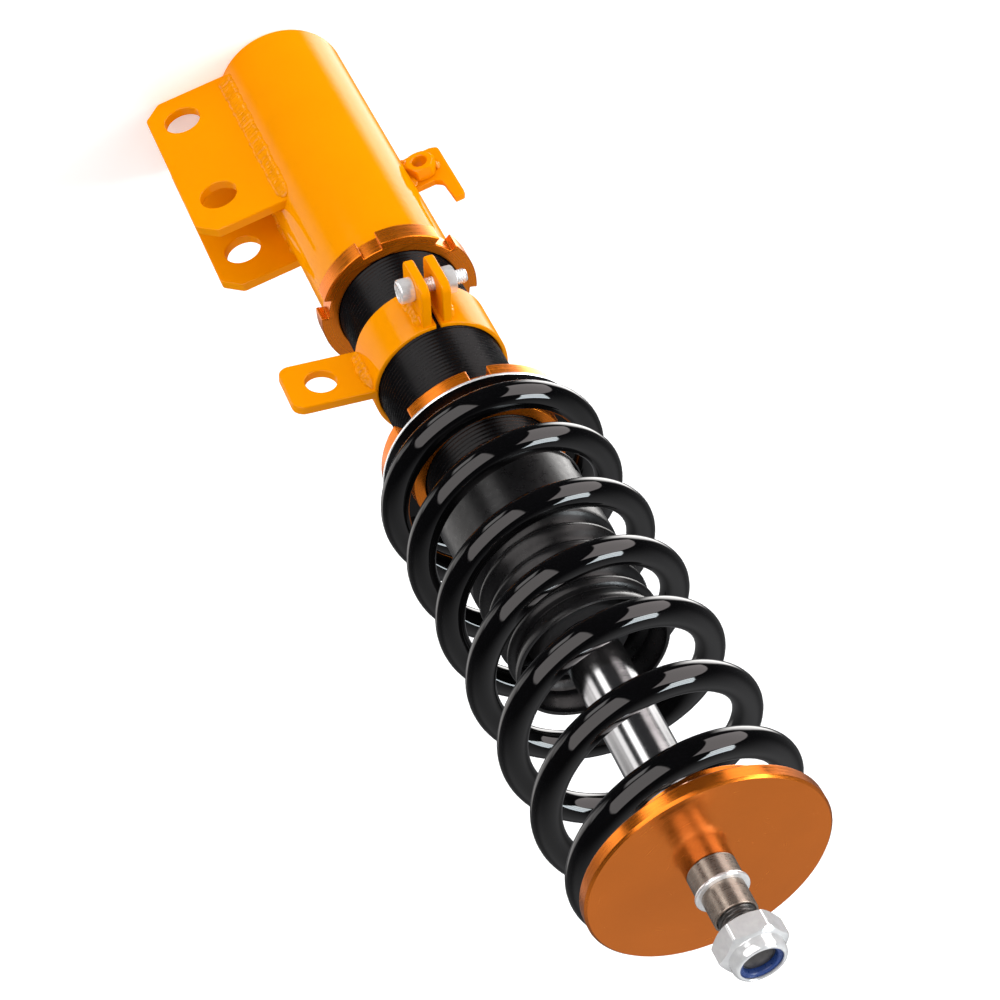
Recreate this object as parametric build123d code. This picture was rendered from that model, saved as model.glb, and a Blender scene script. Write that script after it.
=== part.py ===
"""Adjustable coilover strut: clamp bracket, threaded damper, coil spring and upper perch.

Frame: millimetres, +Z up along the strut axis, origin at the centre of the bracket tube's
bottom end, knuckle plates towards +X, knuckle bolts along Y.
"""
from build123d import *
import math
import os

# ---------------------------------------------------------------- clearances
THREAD_GAP = 0.3        # radial gap between threaded pieces that turn on each other
RUNNING_GAP = 0.05      # radial gap of a sliding or turning fit
FACE_GAP = 0.05         # gap between faces that turn on each other
WELD_LEG = 4.5          # leg of every fillet weld
WELD_ROOT_OVERLAP = 6.0 # how far a bead's outline starts inside the round part, before that is cut away
WELD_TOE_OVERLAP = 1.0
WELD_END_GAP = 2.0      # from a plate's end to the end of its bead
CUT_SPARE = 1.0         # how far a cutting body passes the face it cuts

# ---------------------------------------------------------------- bracket tube
TUBE_RADIUS = 30.0
TUBE_LENGTH = 160.0
BASE_PLATE_THICKNESS = 5.0

# ---------------------------------------------------------------- knuckle plates
KNUCKLE_GAP = 29.2              # clear width for the knuckle between the plates
KNUCKLE_PLATE_THICKNESS = 4.5
KNUCKLE_PLATE_ROOT = 18.0       # inner end before the tube is cut away
KNUCKLE_PLATE_REACH = 64.0      # free edge, from the strut axis
KNUCKLE_PLATE_BOTTOM = 1.0
KNUCKLE_PLATE_HEIGHT = 99.0
KNUCKLE_PLATE_CHAMFER = 8.0
KNUCKLE_HOLE_REACH = 49.0
KNUCKLE_HOLE_LOW = 19.0
KNUCKLE_HOLE_SPACING = 59.0
KNUCKLE_HOLE_RADIUS = 8.25

# ---------------------------------------------------------------- line tab
LINE_TAB_THICKNESS = 3.0
LINE_TAB_ROOT = 28.0            # inner end before the tube is cut away
LINE_TAB_REACH = 47.6
LINE_TAB_BOTTOM = 86.5
LINE_TAB_BLOCK_HEIGHT = 21.5
LINE_TAB_LEG_WIDTH = 5.2
LINE_TAB_LEG_TOP = 124.0
LINE_NUT_ACROSS_FLATS = 12.0
LINE_NUT_HEIGHT = 6.5
LINE_NUT_HOLE_RADIUS = 3.4      # tapping size of M8
LINE_NUT_CENTRE_HEIGHT = 13.0   # above the tab's bottom edge
LINE_NUT_GAP = 0.2              # from the nut's flat to the tube
LINE_HOLE_RADIUS = 4.3          # clears the M8 screw behind the nut

# ---------------------------------------------------------------- rings and collars
RING_RADIUS = 34.3
RING_THICKNESS = 8.5
RING_NOTCH_COUNT = 6
RING_NOTCH_WIDTH = 8.8
RING_NOTCH_DEPTH = 3.2
RING_NOTCH_ANGLE = -24.0
COLLAR_RADIUS = 39.9
COLLAR_BOTTOM = 260.3
COLLAR_THICKNESS = 7.7
COLLAR_NOTCH_COUNT = 7
COLLAR_NOTCH_WIDTH = 8.2
COLLAR_NOTCH_DEPTH = 4.7
COLLAR_NOTCH_ANGLE = -103.7
COLLAR_PILOT_WALL = 5.0         # from the thread crests to the outside of the pilot
COLLAR_PILOT_HEIGHT = 7.5
EDGE_CHAMFER = 0.8

# ---------------------------------------------------------------- damper body
THREAD_RADIUS = 26.5
THREAD_PITCH = 2.0
THREAD_DEPTH = 0.8
THREAD_CREST_WIDTH = 0.4
BODY_BOTTOM = 85.0
BODY_TOP = 322.0
BODY_END_WALL = 6.0
BODY_WALL = 3.5                 # from the bore to the thread crests
THREAD_START = 100.0
THREAD_END = 312.0
GUIDE_THICKNESS = 14.0
GLAND_THICKNESS = 7.0
GLAND_PIN_COUNT = 4
GLAND_PIN_RADIUS = 2.0
GLAND_PIN_DEPTH = 4.0
GLAND_ROD_GAP = 1.5
SEAL_DEPTH = 5.0
SEAL_RADIUS = 16.0

# ---------------------------------------------------------------- clamp on the body
BAND_THICKNESS = 1.9
BAND_ABOVE_TUBE = 34.5          # clear height between the bracket tube and the band
BAND_HEIGHT = 25.0
SPLIT_ANGLE = -103.0
SPLIT_WIDTH = 2.0               # of the slit in the band
EAR_GAP = 4.6                   # between the two lugs
EAR_THICKNESS = 4.0
EAR_REACH = 46.5
EAR_HEIGHT = 23.0
EAR_CORNER = 3.0
CLAMP_BOLT_REACH = 39.5
CLAMP_BOLT_RADIUS = 3.0         # M6
CLAMP_BOLT_HEAD_RADIUS = 5.0
CLAMP_BOLT_HEAD_HEIGHT = 6.0
CLAMP_BOLT_SOCKET_FLATS = 5.0
CLAMP_BOLT_SOCKET_DEPTH = 3.5
CLAMP_BOLT_TAIL = 5.0
CLAMP_NUT_ACROSS_FLATS = 10.0
CLAMP_NUT_HEIGHT = 5.0
CLAMP_HOLE_GAP = 0.3
TAB_ANGLE = -16.0
TAB_REACH = 62.0
TAB_THICKNESS = 4.0
TAB_HEIGHT = 26.5
TAB_CORNER = 5.0
TAB_HOLE_REACH = 47.0
TAB_HOLE_RADIUS = 6.5

# ---------------------------------------------------------------- spring
WIRE_DIAMETER = 11.0
SPRING_OUTER_RADIUS = 46.5
SPRING_TURNS = 6.57
SPRING_START_ANGLE = -174.5
WASHER_RADIUS = 41.9
WASHER_THICKNESS = 1.2
PILOT_GAP = 0.5                 # between a pilot and the spring's inside

# ---------------------------------------------------------------- upper perch
PERCH_RADIUS = 45.0
PERCH_THICKNESS = 5.6
PERCH_BOTTOM = 475.0
PERCH_PILOT_HEIGHT = 9.0
PERCH_PILOT_WALL = 1.5

# ---------------------------------------------------------------- dust boot and bump stop
BOOT_BOTTOM = 297.0
BOOT_CUP_TOP = 334.0
BOOT_TOP = 380.0
BOOT_WALL = 1.4
BOOT_CUP_WALL = 2.0
BOOT_CUP_GAP = 0.1
BOOT_CREST_STEP = 2.9           # crests outside the thread
BOOT_VALLEY_STEP = 0.5          # valleys inside the thread
BOOT_FOLDS = 4
BOOT_BELL_HEIGHT = 8.0
BOOT_BELL_NECK_STEP = 0.5
BOOT_BELL_NECK_HEIGHT = 1.5
BOOT_WINDOW_COUNT = 4
BOOT_WINDOW_ANGLE = 14.0
BOOT_WINDOW_WIDTH = 8.0
BOOT_WINDOW_HEIGHT = 5.0
BOOT_WINDOW_LIP = 2.0           # from the cup's mouth to the windows
BUMP_STOP_STEP = 5.5            # inside the thread
BUMP_STOP_TOP = 372.0
BUMP_STOP_GAP = 0.5
BUMP_STOP_WAISTS = 3
BUMP_STOP_WAIST_DEPTH = 3.0

# ---------------------------------------------------------------- rod and piston
ROD_RADIUS = 11.0
ROD_SHOULDER = 286.0            # where the rod steps down to the piston spigot
SPIGOT_RADIUS = 6.0
STUD_RADIUS = 7.0               # M14
STUD_ABOVE_NUT_SEAT = 9.5
PISTON_THICKNESS = 12.0
PISTON_EDGE_GAP = 0.4
PISTON_BAND_HEIGHT = 8.0
PISTON_BAND_DEPTH = 1.5
PISTON_PORT_COUNT = 6
PISTON_PORT_RADIUS = 2.2
PISTON_PORT_SET_IN = 8.5        # from the bore to the circle of ports
SHIM_THICKNESS = 0.5
SHIM_COUNT = 4
SHIM_SET_IN = 5.0               # from the bore to the widest shim
SHIM_STEP = 1.8
PISTON_NUT_ACROSS_FLATS = 19.0
PISTON_NUT_HEIGHT = 8.0
FLOATING_PISTON_TOP = 165.0
FLOATING_PISTON_HEIGHT = 20.0
FLOATING_PISTON_WALL = 6.0
SEAL_RING_WIDTH = 3.5

# ---------------------------------------------------------------- stud stack above the perch
SPACER_RADIUS = 8.9
SPACER_HEIGHT = 8.4
STUD_WASHER_RADIUS = 9.9
STUD_WASHER_THICKNESS = 1.6
SLEEVE_RADIUS = 7.9
SLEEVE_HEIGHT = 10.4
TOP_NUT_ABOVE_SEAT = 32.0       # from the spring's upper seat to the nut
TOP_NUT_ACROSS_FLATS = 22.0
TOP_NUT_HEX_HEIGHT = 8.5
TOP_NUT_HEIGHT = 13.5
TOP_NUT_COLLAR_RADIUS = 9.8
INSERT_RADIUS = 8.3
INSERT_BORE_RADIUS = 6.1
INSERT_HEIGHT = 3.6             # of its recess in the nut
INSERT_SET_BACK = 0.5           # from the collar's rim down to the nylon

# ---------------------------------------------------------------- worked out from the above
TUBE_BORE_RADIUS = THREAD_RADIUS + THREAD_GAP
BORE_RADIUS = THREAD_RADIUS - BODY_WALL
LINE_NUT_REACH = TUBE_RADIUS + LINE_NUT_ACROSS_FLATS / 2 + LINE_NUT_GAP
LINE_NUT_HEIGHT_ON_STRUT = LINE_TAB_BOTTOM + LINE_NUT_CENTRE_HEIGHT
RING_BOTTOM = TUBE_LENGTH + FACE_GAP
BAND_BOTTOM = TUBE_LENGTH + BAND_ABOVE_TUBE
BAND_INNER_RADIUS = THREAD_RADIUS + THREAD_GAP
BAND_RADIUS = BAND_INNER_RADIUS + BAND_THICKNESS
BAND_MIDDLE = BAND_BOTTOM + BAND_HEIGHT / 2
WIRE_RADIUS = WIRE_DIAMETER / 2
SPRING_INNER_RADIUS = SPRING_OUTER_RADIUS - WIRE_DIAMETER
SPRING_MEAN_RADIUS = SPRING_OUTER_RADIUS - WIRE_RADIUS
COLLAR_TOP = COLLAR_BOTTOM + COLLAR_THICKNESS
COLLAR_PILOT_RADIUS = THREAD_RADIUS + COLLAR_PILOT_WALL
BOOT_CREST_RADIUS = THREAD_RADIUS + BOOT_CREST_STEP
BOOT_VALLEY_RADIUS = THREAD_RADIUS - BOOT_VALLEY_STEP
BOOT_BELL_NECK_RADIUS = THREAD_RADIUS + BOOT_BELL_NECK_STEP
BUMP_STOP_RADIUS = THREAD_RADIUS - BUMP_STOP_STEP
WASHER_BOTTOM = COLLAR_TOP + FACE_GAP
SPRING_BOTTOM = WASHER_BOTTOM + WASHER_THICKNESS
PERCH_TOP = PERCH_BOTTOM + PERCH_THICKNESS
PILOT_RADIUS = SPRING_INNER_RADIUS - PILOT_GAP
GLAND_BOTTOM = BODY_TOP - GLAND_THICKNESS
GUIDE_BOTTOM = GLAND_BOTTOM - GUIDE_THICKNESS
SHIM_STACK = SHIM_THICKNESS * SHIM_COUNT
PISTON_PORT_CIRCLE = BORE_RADIUS - PISTON_PORT_SET_IN
SHIM_RADIUS = BORE_RADIUS - SHIM_SET_IN
PISTON_TOP = ROD_SHOULDER - SHIM_STACK
PISTON_BOTTOM = PISTON_TOP - PISTON_THICKNESS
PISTON_NUT_BOTTOM = PISTON_BOTTOM - SHIM_STACK - PISTON_NUT_HEIGHT
SPACER_BOTTOM = PERCH_TOP + FACE_GAP
STUD_WASHER_BOTTOM = SPACER_BOTTOM + SPACER_HEIGHT
SLEEVE_BOTTOM = STUD_WASHER_BOTTOM + STUD_WASHER_THICKNESS
TOP_NUT_BOTTOM = PERCH_BOTTOM + TOP_NUT_ABOVE_SEAT
STUD_TOP = TOP_NUT_BOTTOM + STUD_ABOVE_NUT_SEAT
INSERT_BOTTOM = TOP_NUT_BOTTOM + TOP_NUT_HEIGHT - INSERT_HEIGHT


def ring(outer, inner, bottom, height):
    """Upright ring, or a disc when inner is zero."""
    body = Pos(0, 0, bottom + height / 2) * Cylinder(outer, height)
    if inner > 0:
        body -= Pos(0, 0, bottom + height / 2) * Cylinder(inner, height + 2 * CUT_SPARE)
    return body


def turned(points):
    """Solid of revolution about the strut axis from (radius, height) points."""
    return revolve(make_face(Plane.XZ * Polyline(*points, close=True)), Axis.Z)


def hexagon(across_flats, bottom, height):
    """Upright hexagonal prism with two corners along Y."""
    outline = RegularPolygon(across_flats / 2, 6, major_radius=False, rotation=30)
    return Pos(0, 0, bottom) * extrude(outline, height)


def chamfered_hexagon(across_flats, bottom, height):
    """Hexagonal prism whose corners are turned off at both ends."""
    corner = across_flats / math.sqrt(3)
    drop = (corner - across_flats / 2) * math.tan(math.radians(30))
    cone = turned([
        (0, bottom), (across_flats / 2, bottom), (corner, bottom + drop),
        (corner, bottom + height - drop), (across_flats / 2, bottom + height), (0, bottom + height),
    ])
    return hexagon(across_flats, bottom, height) & cone


def notched(body, count, first_angle, radius, depth, width):
    """The ring with spanner notches cut into its rim, from top to bottom."""
    box = body.bounding_box()
    middle = (box.min.Z + box.max.Z) / 2
    for step in range(count):
        block = Box(depth * 2, width, box.size.Z + 2 * CUT_SPARE)
        turn = Rot(0, 0, first_angle + step * 360 / count)
        body -= turn * Pos(radius, 0, middle) * block
    return body


def chamfered_ring(outer, inner, bottom, height):
    """Ring with both outer edges chamfered."""
    c = EDGE_CHAMFER
    top = bottom + height
    return turned([
        (inner, bottom), (outer - c, bottom), (outer, bottom + c),
        (outer, top - c), (outer - c, top), (inner, top),
    ])


def corner_weld(face_offset, side, radius, bottom, height):
    """Fillet weld along Z where a flat plate meets a cylinder.

    The plate's face lies at y = face_offset with the weld on its side (+1 or -1);
    radius is the cylinder that the plate stands on.
    """
    corner_x = math.sqrt(radius ** 2 - face_offset ** 2)
    toe_y = face_offset + side * WELD_LEG
    toe_x = math.sqrt(radius ** 2 - toe_y ** 2)
    outline = make_face(Polyline(
        (corner_x + WELD_LEG, face_offset), (toe_x - WELD_TOE_OVERLAP, toe_y),
        (corner_x - WELD_ROOT_OVERLAP, face_offset), close=True))
    bead = Pos(0, 0, bottom) * extrude(outline, height)
    return bead - ring(radius, 0, bottom - CUT_SPARE, height + 2 * CUT_SPARE)


# ---------------------------------------------------------------- bracket
def strut_tube():
    return chamfer(
        ring(TUBE_RADIUS, TUBE_BORE_RADIUS, 0, TUBE_LENGTH).edges().group_by(Axis.Z)[0].sort_by(
            SortBy.RADIUS)[-1:], EDGE_CHAMFER)


def tube_base_plate():
    return ring(TUBE_BORE_RADIUS, 0, 0, BASE_PLATE_THICKNESS)


def knuckle_plate(side):
    """Flat plate of the clevis; side is -1 for the front one and +1 for the rear one."""
    start = KNUCKLE_PLATE_ROOT
    top = KNUCKLE_PLATE_BOTTOM + KNUCKLE_PLATE_HEIGHT
    cut = KNUCKLE_PLATE_CHAMFER
    outline = make_face(Plane.XZ * Polyline(
        (start, KNUCKLE_PLATE_BOTTOM), (KNUCKLE_PLATE_REACH - cut, KNUCKLE_PLATE_BOTTOM),
        (KNUCKLE_PLATE_REACH, KNUCKLE_PLATE_BOTTOM + cut), (KNUCKLE_PLATE_REACH, top - cut),
        (KNUCKLE_PLATE_REACH - cut, top), (start, top), close=True))
    middle = side * (KNUCKLE_GAP + KNUCKLE_PLATE_THICKNESS) / 2
    plate = Pos(0, middle, 0) * extrude(outline, KNUCKLE_PLATE_THICKNESS / 2, both=True)
    for step in range(2):
        height = KNUCKLE_HOLE_LOW + step * KNUCKLE_HOLE_SPACING
        drill = Rot(90, 0, 0) * Cylinder(KNUCKLE_HOLE_RADIUS, KNUCKLE_PLATE_THICKNESS + 2 * CUT_SPARE)
        plate -= Pos(KNUCKLE_HOLE_REACH, middle, height) * drill
    bottom = KNUCKLE_PLATE_BOTTOM - CUT_SPARE
    return plate - ring(TUBE_RADIUS, 0, bottom, KNUCKLE_PLATE_HEIGHT + 2 * CUT_SPARE)


def knuckle_weld_beads():
    outer_face = KNUCKLE_GAP / 2 + KNUCKLE_PLATE_THICKNESS
    inner_face = KNUCKLE_GAP / 2
    bottom = KNUCKLE_PLATE_BOTTOM + WELD_END_GAP
    height = KNUCKLE_PLATE_HEIGHT - 2 * WELD_END_GAP
    beads = []
    for side in (-1, 1):
        beads.append(corner_weld(side * outer_face, side, TUBE_RADIUS, bottom, height))
        beads.append(corner_weld(side * inner_face, -side, TUBE_RADIUS, bottom, height))
    return Compound(children=[bead.solid() for bead in beads])


def line_tab():
    """Hook-shaped tab that holds the brake line, on the side away from the knuckle."""
    block_top = LINE_TAB_BOTTOM + LINE_TAB_BLOCK_HEIGHT
    leg_inner = LINE_TAB_REACH - LINE_TAB_LEG_WIDTH
    root = LINE_TAB_ROOT
    outline = make_face(Plane.XZ * Polyline(
        (-root, LINE_TAB_BOTTOM), (-LINE_TAB_REACH, LINE_TAB_BOTTOM),
        (-LINE_TAB_REACH, LINE_TAB_LEG_TOP), (-leg_inner, LINE_TAB_LEG_TOP),
        (-leg_inner, block_top), (-root, block_top), close=True))
    tab = extrude(outline, LINE_TAB_THICKNESS / 2, both=True)
    upright = tab.edges().filter_by(Axis.Y)
    corners = upright.group_by(Axis.X)[1]
    tab = fillet(corners.sort_by(Axis.Z)[0], LINE_TAB_LEG_WIDTH)
    drill = Rot(90, 0, 0) * Cylinder(LINE_HOLE_RADIUS, LINE_TAB_THICKNESS + 2 * CUT_SPARE)
    tab -= Pos(-LINE_NUT_REACH, 0, LINE_NUT_HEIGHT_ON_STRUT) * drill
    height = LINE_TAB_LEG_TOP - LINE_TAB_BOTTOM
    return tab - ring(TUBE_RADIUS, 0, LINE_TAB_BOTTOM - CUT_SPARE, height + 2 * CUT_SPARE)


def line_tab_nut():
    """Weld nut on the front face of the line tab, with its axis along Y."""
    nut = chamfered_hexagon(LINE_NUT_ACROSS_FLATS, 0, LINE_NUT_HEIGHT)
    nut -= ring(LINE_NUT_HOLE_RADIUS, 0, -CUT_SPARE, LINE_NUT_HEIGHT + 2 * CUT_SPARE)
    place = Pos(-LINE_NUT_REACH, -LINE_TAB_THICKNESS / 2, LINE_NUT_HEIGHT_ON_STRUT)
    return place * Rot(90, 0, 0) * nut


def bracket_lock_ring():
    body = chamfered_ring(RING_RADIUS, TUBE_BORE_RADIUS, RING_BOTTOM, RING_THICKNESS)
    return notched(
        body, RING_NOTCH_COUNT, RING_NOTCH_ANGLE, RING_RADIUS, RING_NOTCH_DEPTH, RING_NOTCH_WIDTH)


# ---------------------------------------------------------------- damper body
def threaded_body():
    """Damper cylinder with ring grooves that stand for its thread."""
    root = THREAD_RADIUS - THREAD_DEPTH
    points = [(0, BODY_BOTTOM), (root, BODY_BOTTOM), (root, THREAD_START)]
    for step in range(int((THREAD_END - THREAD_START) / THREAD_PITCH)):
        crest = THREAD_START + (step + 0.5) * THREAD_PITCH
        points.append((THREAD_RADIUS, crest - THREAD_CREST_WIDTH / 2))
        points.append((THREAD_RADIUS, crest + THREAD_CREST_WIDTH / 2))
        points.append((root, THREAD_START + (step + 1) * THREAD_PITCH))
    points += [
        (root, BODY_TOP), (BORE_RADIUS, BODY_TOP),
        (BORE_RADIUS, BODY_BOTTOM + BODY_END_WALL), (0, BODY_BOTTOM + BODY_END_WALL),
    ]
    return turned(points)


def gland_nut():
    inner = ROD_RADIUS + GLAND_ROD_GAP
    body = ring(BORE_RADIUS, inner, GLAND_BOTTOM, GLAND_THICKNESS)
    circle = (BORE_RADIUS + inner) / 2
    for step in range(GLAND_PIN_COUNT):
        hole = ring(GLAND_PIN_RADIUS, 0, BODY_TOP - GLAND_PIN_DEPTH, GLAND_PIN_DEPTH + CUT_SPARE)
        body -= Rot(0, 0, step * 360 / GLAND_PIN_COUNT) * Pos(circle, 0, 0) * hole
    return body


def rod_guide():
    body = ring(BORE_RADIUS, ROD_RADIUS + RUNNING_GAP, GUIDE_BOTTOM, GUIDE_THICKNESS)
    return body - ring(SEAL_RADIUS, 0, GLAND_BOTTOM - SEAL_DEPTH, SEAL_DEPTH + CUT_SPARE)


def rod_seal():
    return ring(SEAL_RADIUS, ROD_RADIUS + RUNNING_GAP, GLAND_BOTTOM - SEAL_DEPTH, SEAL_DEPTH)


def floating_piston():
    """Free piston that divides the oil from the gas."""
    bottom = FLOATING_PISTON_TOP - FLOATING_PISTON_HEIGHT
    body = ring(BORE_RADIUS - PISTON_EDGE_GAP, 0, bottom, FLOATING_PISTON_HEIGHT)
    hollow = BORE_RADIUS - FLOATING_PISTON_WALL
    body -= ring(hollow, 0, bottom - CUT_SPARE, FLOATING_PISTON_HEIGHT / 2 + CUT_SPARE)
    groove = BORE_RADIUS - SEAL_RING_WIDTH
    height = bottom + (FLOATING_PISTON_HEIGHT - SEAL_RING_WIDTH) / 2
    return body - ring(BORE_RADIUS + CUT_SPARE, groove, height, SEAL_RING_WIDTH)


def floating_piston_seal():
    height = FLOATING_PISTON_TOP - (FLOATING_PISTON_HEIGHT + SEAL_RING_WIDTH) / 2
    return ring(BORE_RADIUS - RUNNING_GAP, BORE_RADIUS - SEAL_RING_WIDTH, height, SEAL_RING_WIDTH)


def dust_boot():
    """Rubber boot: a cup over the body's top, a bellows and an open bell mouth."""
    cup_inner = THREAD_RADIUS + BOOT_CUP_GAP
    cup_outer = cup_inner + BOOT_CUP_WALL
    bell_bottom = BOOT_TOP - BOOT_BELL_HEIGHT
    fold = (bell_bottom - BOOT_CUP_TOP) / BOOT_FOLDS
    outer = [(cup_outer, BOOT_BOTTOM), (cup_outer, BOOT_CUP_TOP)]
    for step in range(BOOT_FOLDS):
        start = BOOT_CUP_TOP + step * fold
        outer.append((BOOT_VALLEY_RADIUS, start + fold * 0.25))
        outer.append((BOOT_CREST_RADIUS, start + fold * 0.75))
    outer.append((BOOT_BELL_NECK_RADIUS, bell_bottom + BOOT_BELL_NECK_HEIGHT))
    outer.append((BOOT_CREST_RADIUS, BOOT_TOP))
    inner = [(radius - BOOT_WALL, height) for radius, height in outer[1:]]
    shell = turned(outer + inner[::-1] + [(cup_inner, BODY_TOP), (cup_inner, BOOT_BOTTOM)])
    middle = BOOT_BOTTOM + BOOT_WINDOW_LIP + BOOT_WINDOW_HEIGHT / 2
    for step in range(BOOT_WINDOW_COUNT):
        window = Box(cup_outer, BOOT_WINDOW_WIDTH, BOOT_WINDOW_HEIGHT)
        turn = Rot(0, 0, BOOT_WINDOW_ANGLE + step * 360 / BOOT_WINDOW_COUNT)
        shell -= turn * Pos(cup_outer, 0, middle) * window
    return shell


def bump_stop():
    """Foam bump stop that stands on the gland round the rod."""
    inner = ROD_RADIUS + BUMP_STOP_GAP
    height = BUMP_STOP_TOP - BODY_TOP
    lobe = height / (BUMP_STOP_WAISTS + 1)
    points = [(inner, BODY_TOP), (BUMP_STOP_RADIUS, BODY_TOP)]
    for step in range(1, BUMP_STOP_WAISTS + 1):
        waist = BODY_TOP + step * lobe
        points.append((BUMP_STOP_RADIUS, waist - BUMP_STOP_WAIST_DEPTH))
        points.append((BUMP_STOP_RADIUS - BUMP_STOP_WAIST_DEPTH, waist))
        points.append((BUMP_STOP_RADIUS, waist + BUMP_STOP_WAIST_DEPTH))
    points.append((BUMP_STOP_RADIUS - BUMP_STOP_WAIST_DEPTH, BUMP_STOP_TOP))
    points.append((inner, BUMP_STOP_TOP))
    return turned(points)


# ---------------------------------------------------------------- clamp
def clamp_band():
    band = ring(BAND_RADIUS, BAND_INNER_RADIUS, BAND_BOTTOM, BAND_HEIGHT)
    gap = Box(BAND_RADIUS, SPLIT_WIDTH, BAND_HEIGHT + 2 * CUT_SPARE)
    return band - Rot(0, 0, SPLIT_ANGLE) * Pos(BAND_RADIUS, 0, BAND_MIDDLE) * gap


def rounded_plate(start, reach, offset, thickness, height, corner):
    """Plate standing out along X with rounded free corners, centred on the band's height."""
    body = Pos((start + reach) / 2, offset, BAND_MIDDLE) * Box(reach - start, thickness, height)
    return fillet(body.edges().filter_by(Axis.Y).group_by(Axis.X)[-1], corner)


def clamp_ears():
    """Two lugs beside the split, drilled for the clamp bolt."""
    ears = []
    for side in (-1, 1):
        offset = side * (EAR_GAP + EAR_THICKNESS) / 2
        ear = rounded_plate(
            BAND_INNER_RADIUS, EAR_REACH, offset, EAR_THICKNESS, EAR_HEIGHT, EAR_CORNER)
        hole = CLAMP_BOLT_RADIUS + CLAMP_HOLE_GAP
        drill = Rot(90, 0, 0) * Cylinder(hole, EAR_THICKNESS + 2 * CUT_SPARE)
        ear -= Pos(CLAMP_BOLT_REACH, offset, BAND_MIDDLE) * drill
        ear -= ring(BAND_RADIUS, 0, BAND_BOTTOM - CUT_SPARE, BAND_HEIGHT + 2 * CUT_SPARE)
        ears.append((Rot(0, 0, SPLIT_ANGLE) * ear).solid())
    return Compound(children=ears)


def link_tab():
    tab = rounded_plate(
        BAND_INNER_RADIUS, TAB_REACH, 0, TAB_THICKNESS, TAB_HEIGHT, TAB_CORNER)
    drill = Rot(90, 0, 0) * Cylinder(TAB_HOLE_RADIUS, TAB_THICKNESS + 2 * CUT_SPARE)
    tab -= Pos(TAB_HOLE_REACH, 0, BAND_MIDDLE) * drill
    tab -= ring(BAND_RADIUS, 0, BAND_MIDDLE - TAB_HEIGHT / 2 - CUT_SPARE, TAB_HEIGHT + 2 * CUT_SPARE)
    return Rot(0, 0, TAB_ANGLE) * tab


def clamp_weld_beads():
    bottom = BAND_BOTTOM + WELD_END_GAP
    height = BAND_HEIGHT - 2 * WELD_END_GAP
    ear_face = EAR_GAP / 2 + EAR_THICKNESS
    beads = []
    for side in (-1, 1):
        ear_bead = corner_weld(side * ear_face, side, BAND_RADIUS, bottom, height)
        tab_bead = corner_weld(side * TAB_THICKNESS / 2, side, BAND_RADIUS, bottom, height)
        beads.append((Rot(0, 0, SPLIT_ANGLE) * ear_bead).solid())
        beads.append((Rot(0, 0, TAB_ANGLE) * tab_bead).solid())
    return Compound(children=beads)


def on_clamp_bolt(piece):
    """Place a piece built along +Z, the way the bolt points, with z = 0 midway between the ears."""
    return Rot(0, 0, SPLIT_ANGLE) * Pos(CLAMP_BOLT_REACH, 0, BAND_MIDDLE) * Rot(90, 0, 0) * piece


def clamp_bolt():
    seat = EAR_GAP / 2 + EAR_THICKNESS + FACE_GAP
    tail = seat + CLAMP_NUT_HEIGHT + CLAMP_BOLT_TAIL
    body = ring(CLAMP_BOLT_HEAD_RADIUS, 0, -seat - CLAMP_BOLT_HEAD_HEIGHT, CLAMP_BOLT_HEAD_HEIGHT)
    socket_mouth = -seat - CLAMP_BOLT_HEAD_HEIGHT - CUT_SPARE
    body -= hexagon(CLAMP_BOLT_SOCKET_FLATS, socket_mouth, CLAMP_BOLT_SOCKET_DEPTH + CUT_SPARE)
    body += ring(CLAMP_BOLT_RADIUS, 0, -seat, seat + tail)
    return on_clamp_bolt(body)


def clamp_nut():
    seat = EAR_GAP / 2 + EAR_THICKNESS + FACE_GAP
    body = chamfered_hexagon(CLAMP_NUT_ACROSS_FLATS, seat, CLAMP_NUT_HEIGHT)
    thread = ring(
        CLAMP_BOLT_RADIUS + RUNNING_GAP, 0, seat - CUT_SPARE, CLAMP_NUT_HEIGHT + 2 * CUT_SPARE)
    return on_clamp_bolt(body - thread)


# ---------------------------------------------------------------- spring seat
def perch_collar():
    body = chamfered_ring(COLLAR_RADIUS, TUBE_BORE_RADIUS, COLLAR_BOTTOM, COLLAR_THICKNESS)
    body = notched(
        body, COLLAR_NOTCH_COUNT, COLLAR_NOTCH_ANGLE, COLLAR_RADIUS, COLLAR_NOTCH_DEPTH,
        COLLAR_NOTCH_WIDTH)
    return body + ring(COLLAR_PILOT_RADIUS, TUBE_BORE_RADIUS, COLLAR_TOP, COLLAR_PILOT_HEIGHT)


def thrust_washer():
    return ring(WASHER_RADIUS, COLLAR_PILOT_RADIUS + RUNNING_GAP, WASHER_BOTTOM, WASHER_THICKNESS)


def coil_spring():
    """Round-wire helix, right-hand wound, cut flat at both seats."""
    pitch = (PERCH_BOTTOM - SPRING_BOTTOM) / SPRING_TURNS
    height = PERCH_BOTTOM - SPRING_BOTTOM
    path = Helix(pitch, height, SPRING_MEAN_RADIUS)
    section = Plane(origin=path @ 0, z_dir=path % 0) * Circle(WIRE_RADIUS)
    wire = sweep(section, path, is_frenet=True)
    wire = Rot(0, 0, SPRING_START_ANGLE) * Pos(0, 0, SPRING_BOTTOM) * wire
    return wire & ring(SPRING_OUTER_RADIUS + CUT_SPARE, 0, SPRING_BOTTOM, height)


# ---------------------------------------------------------------- upper perch and rod
def upper_perch():
    body = chamfered_ring(PERCH_RADIUS, STUD_RADIUS + RUNNING_GAP, PERCH_BOTTOM, PERCH_THICKNESS)
    pilot_bottom = PERCH_BOTTOM - PERCH_PILOT_HEIGHT
    return body + ring(PILOT_RADIUS, PILOT_RADIUS - PERCH_PILOT_WALL, pilot_bottom, PERCH_PILOT_HEIGHT)


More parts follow.
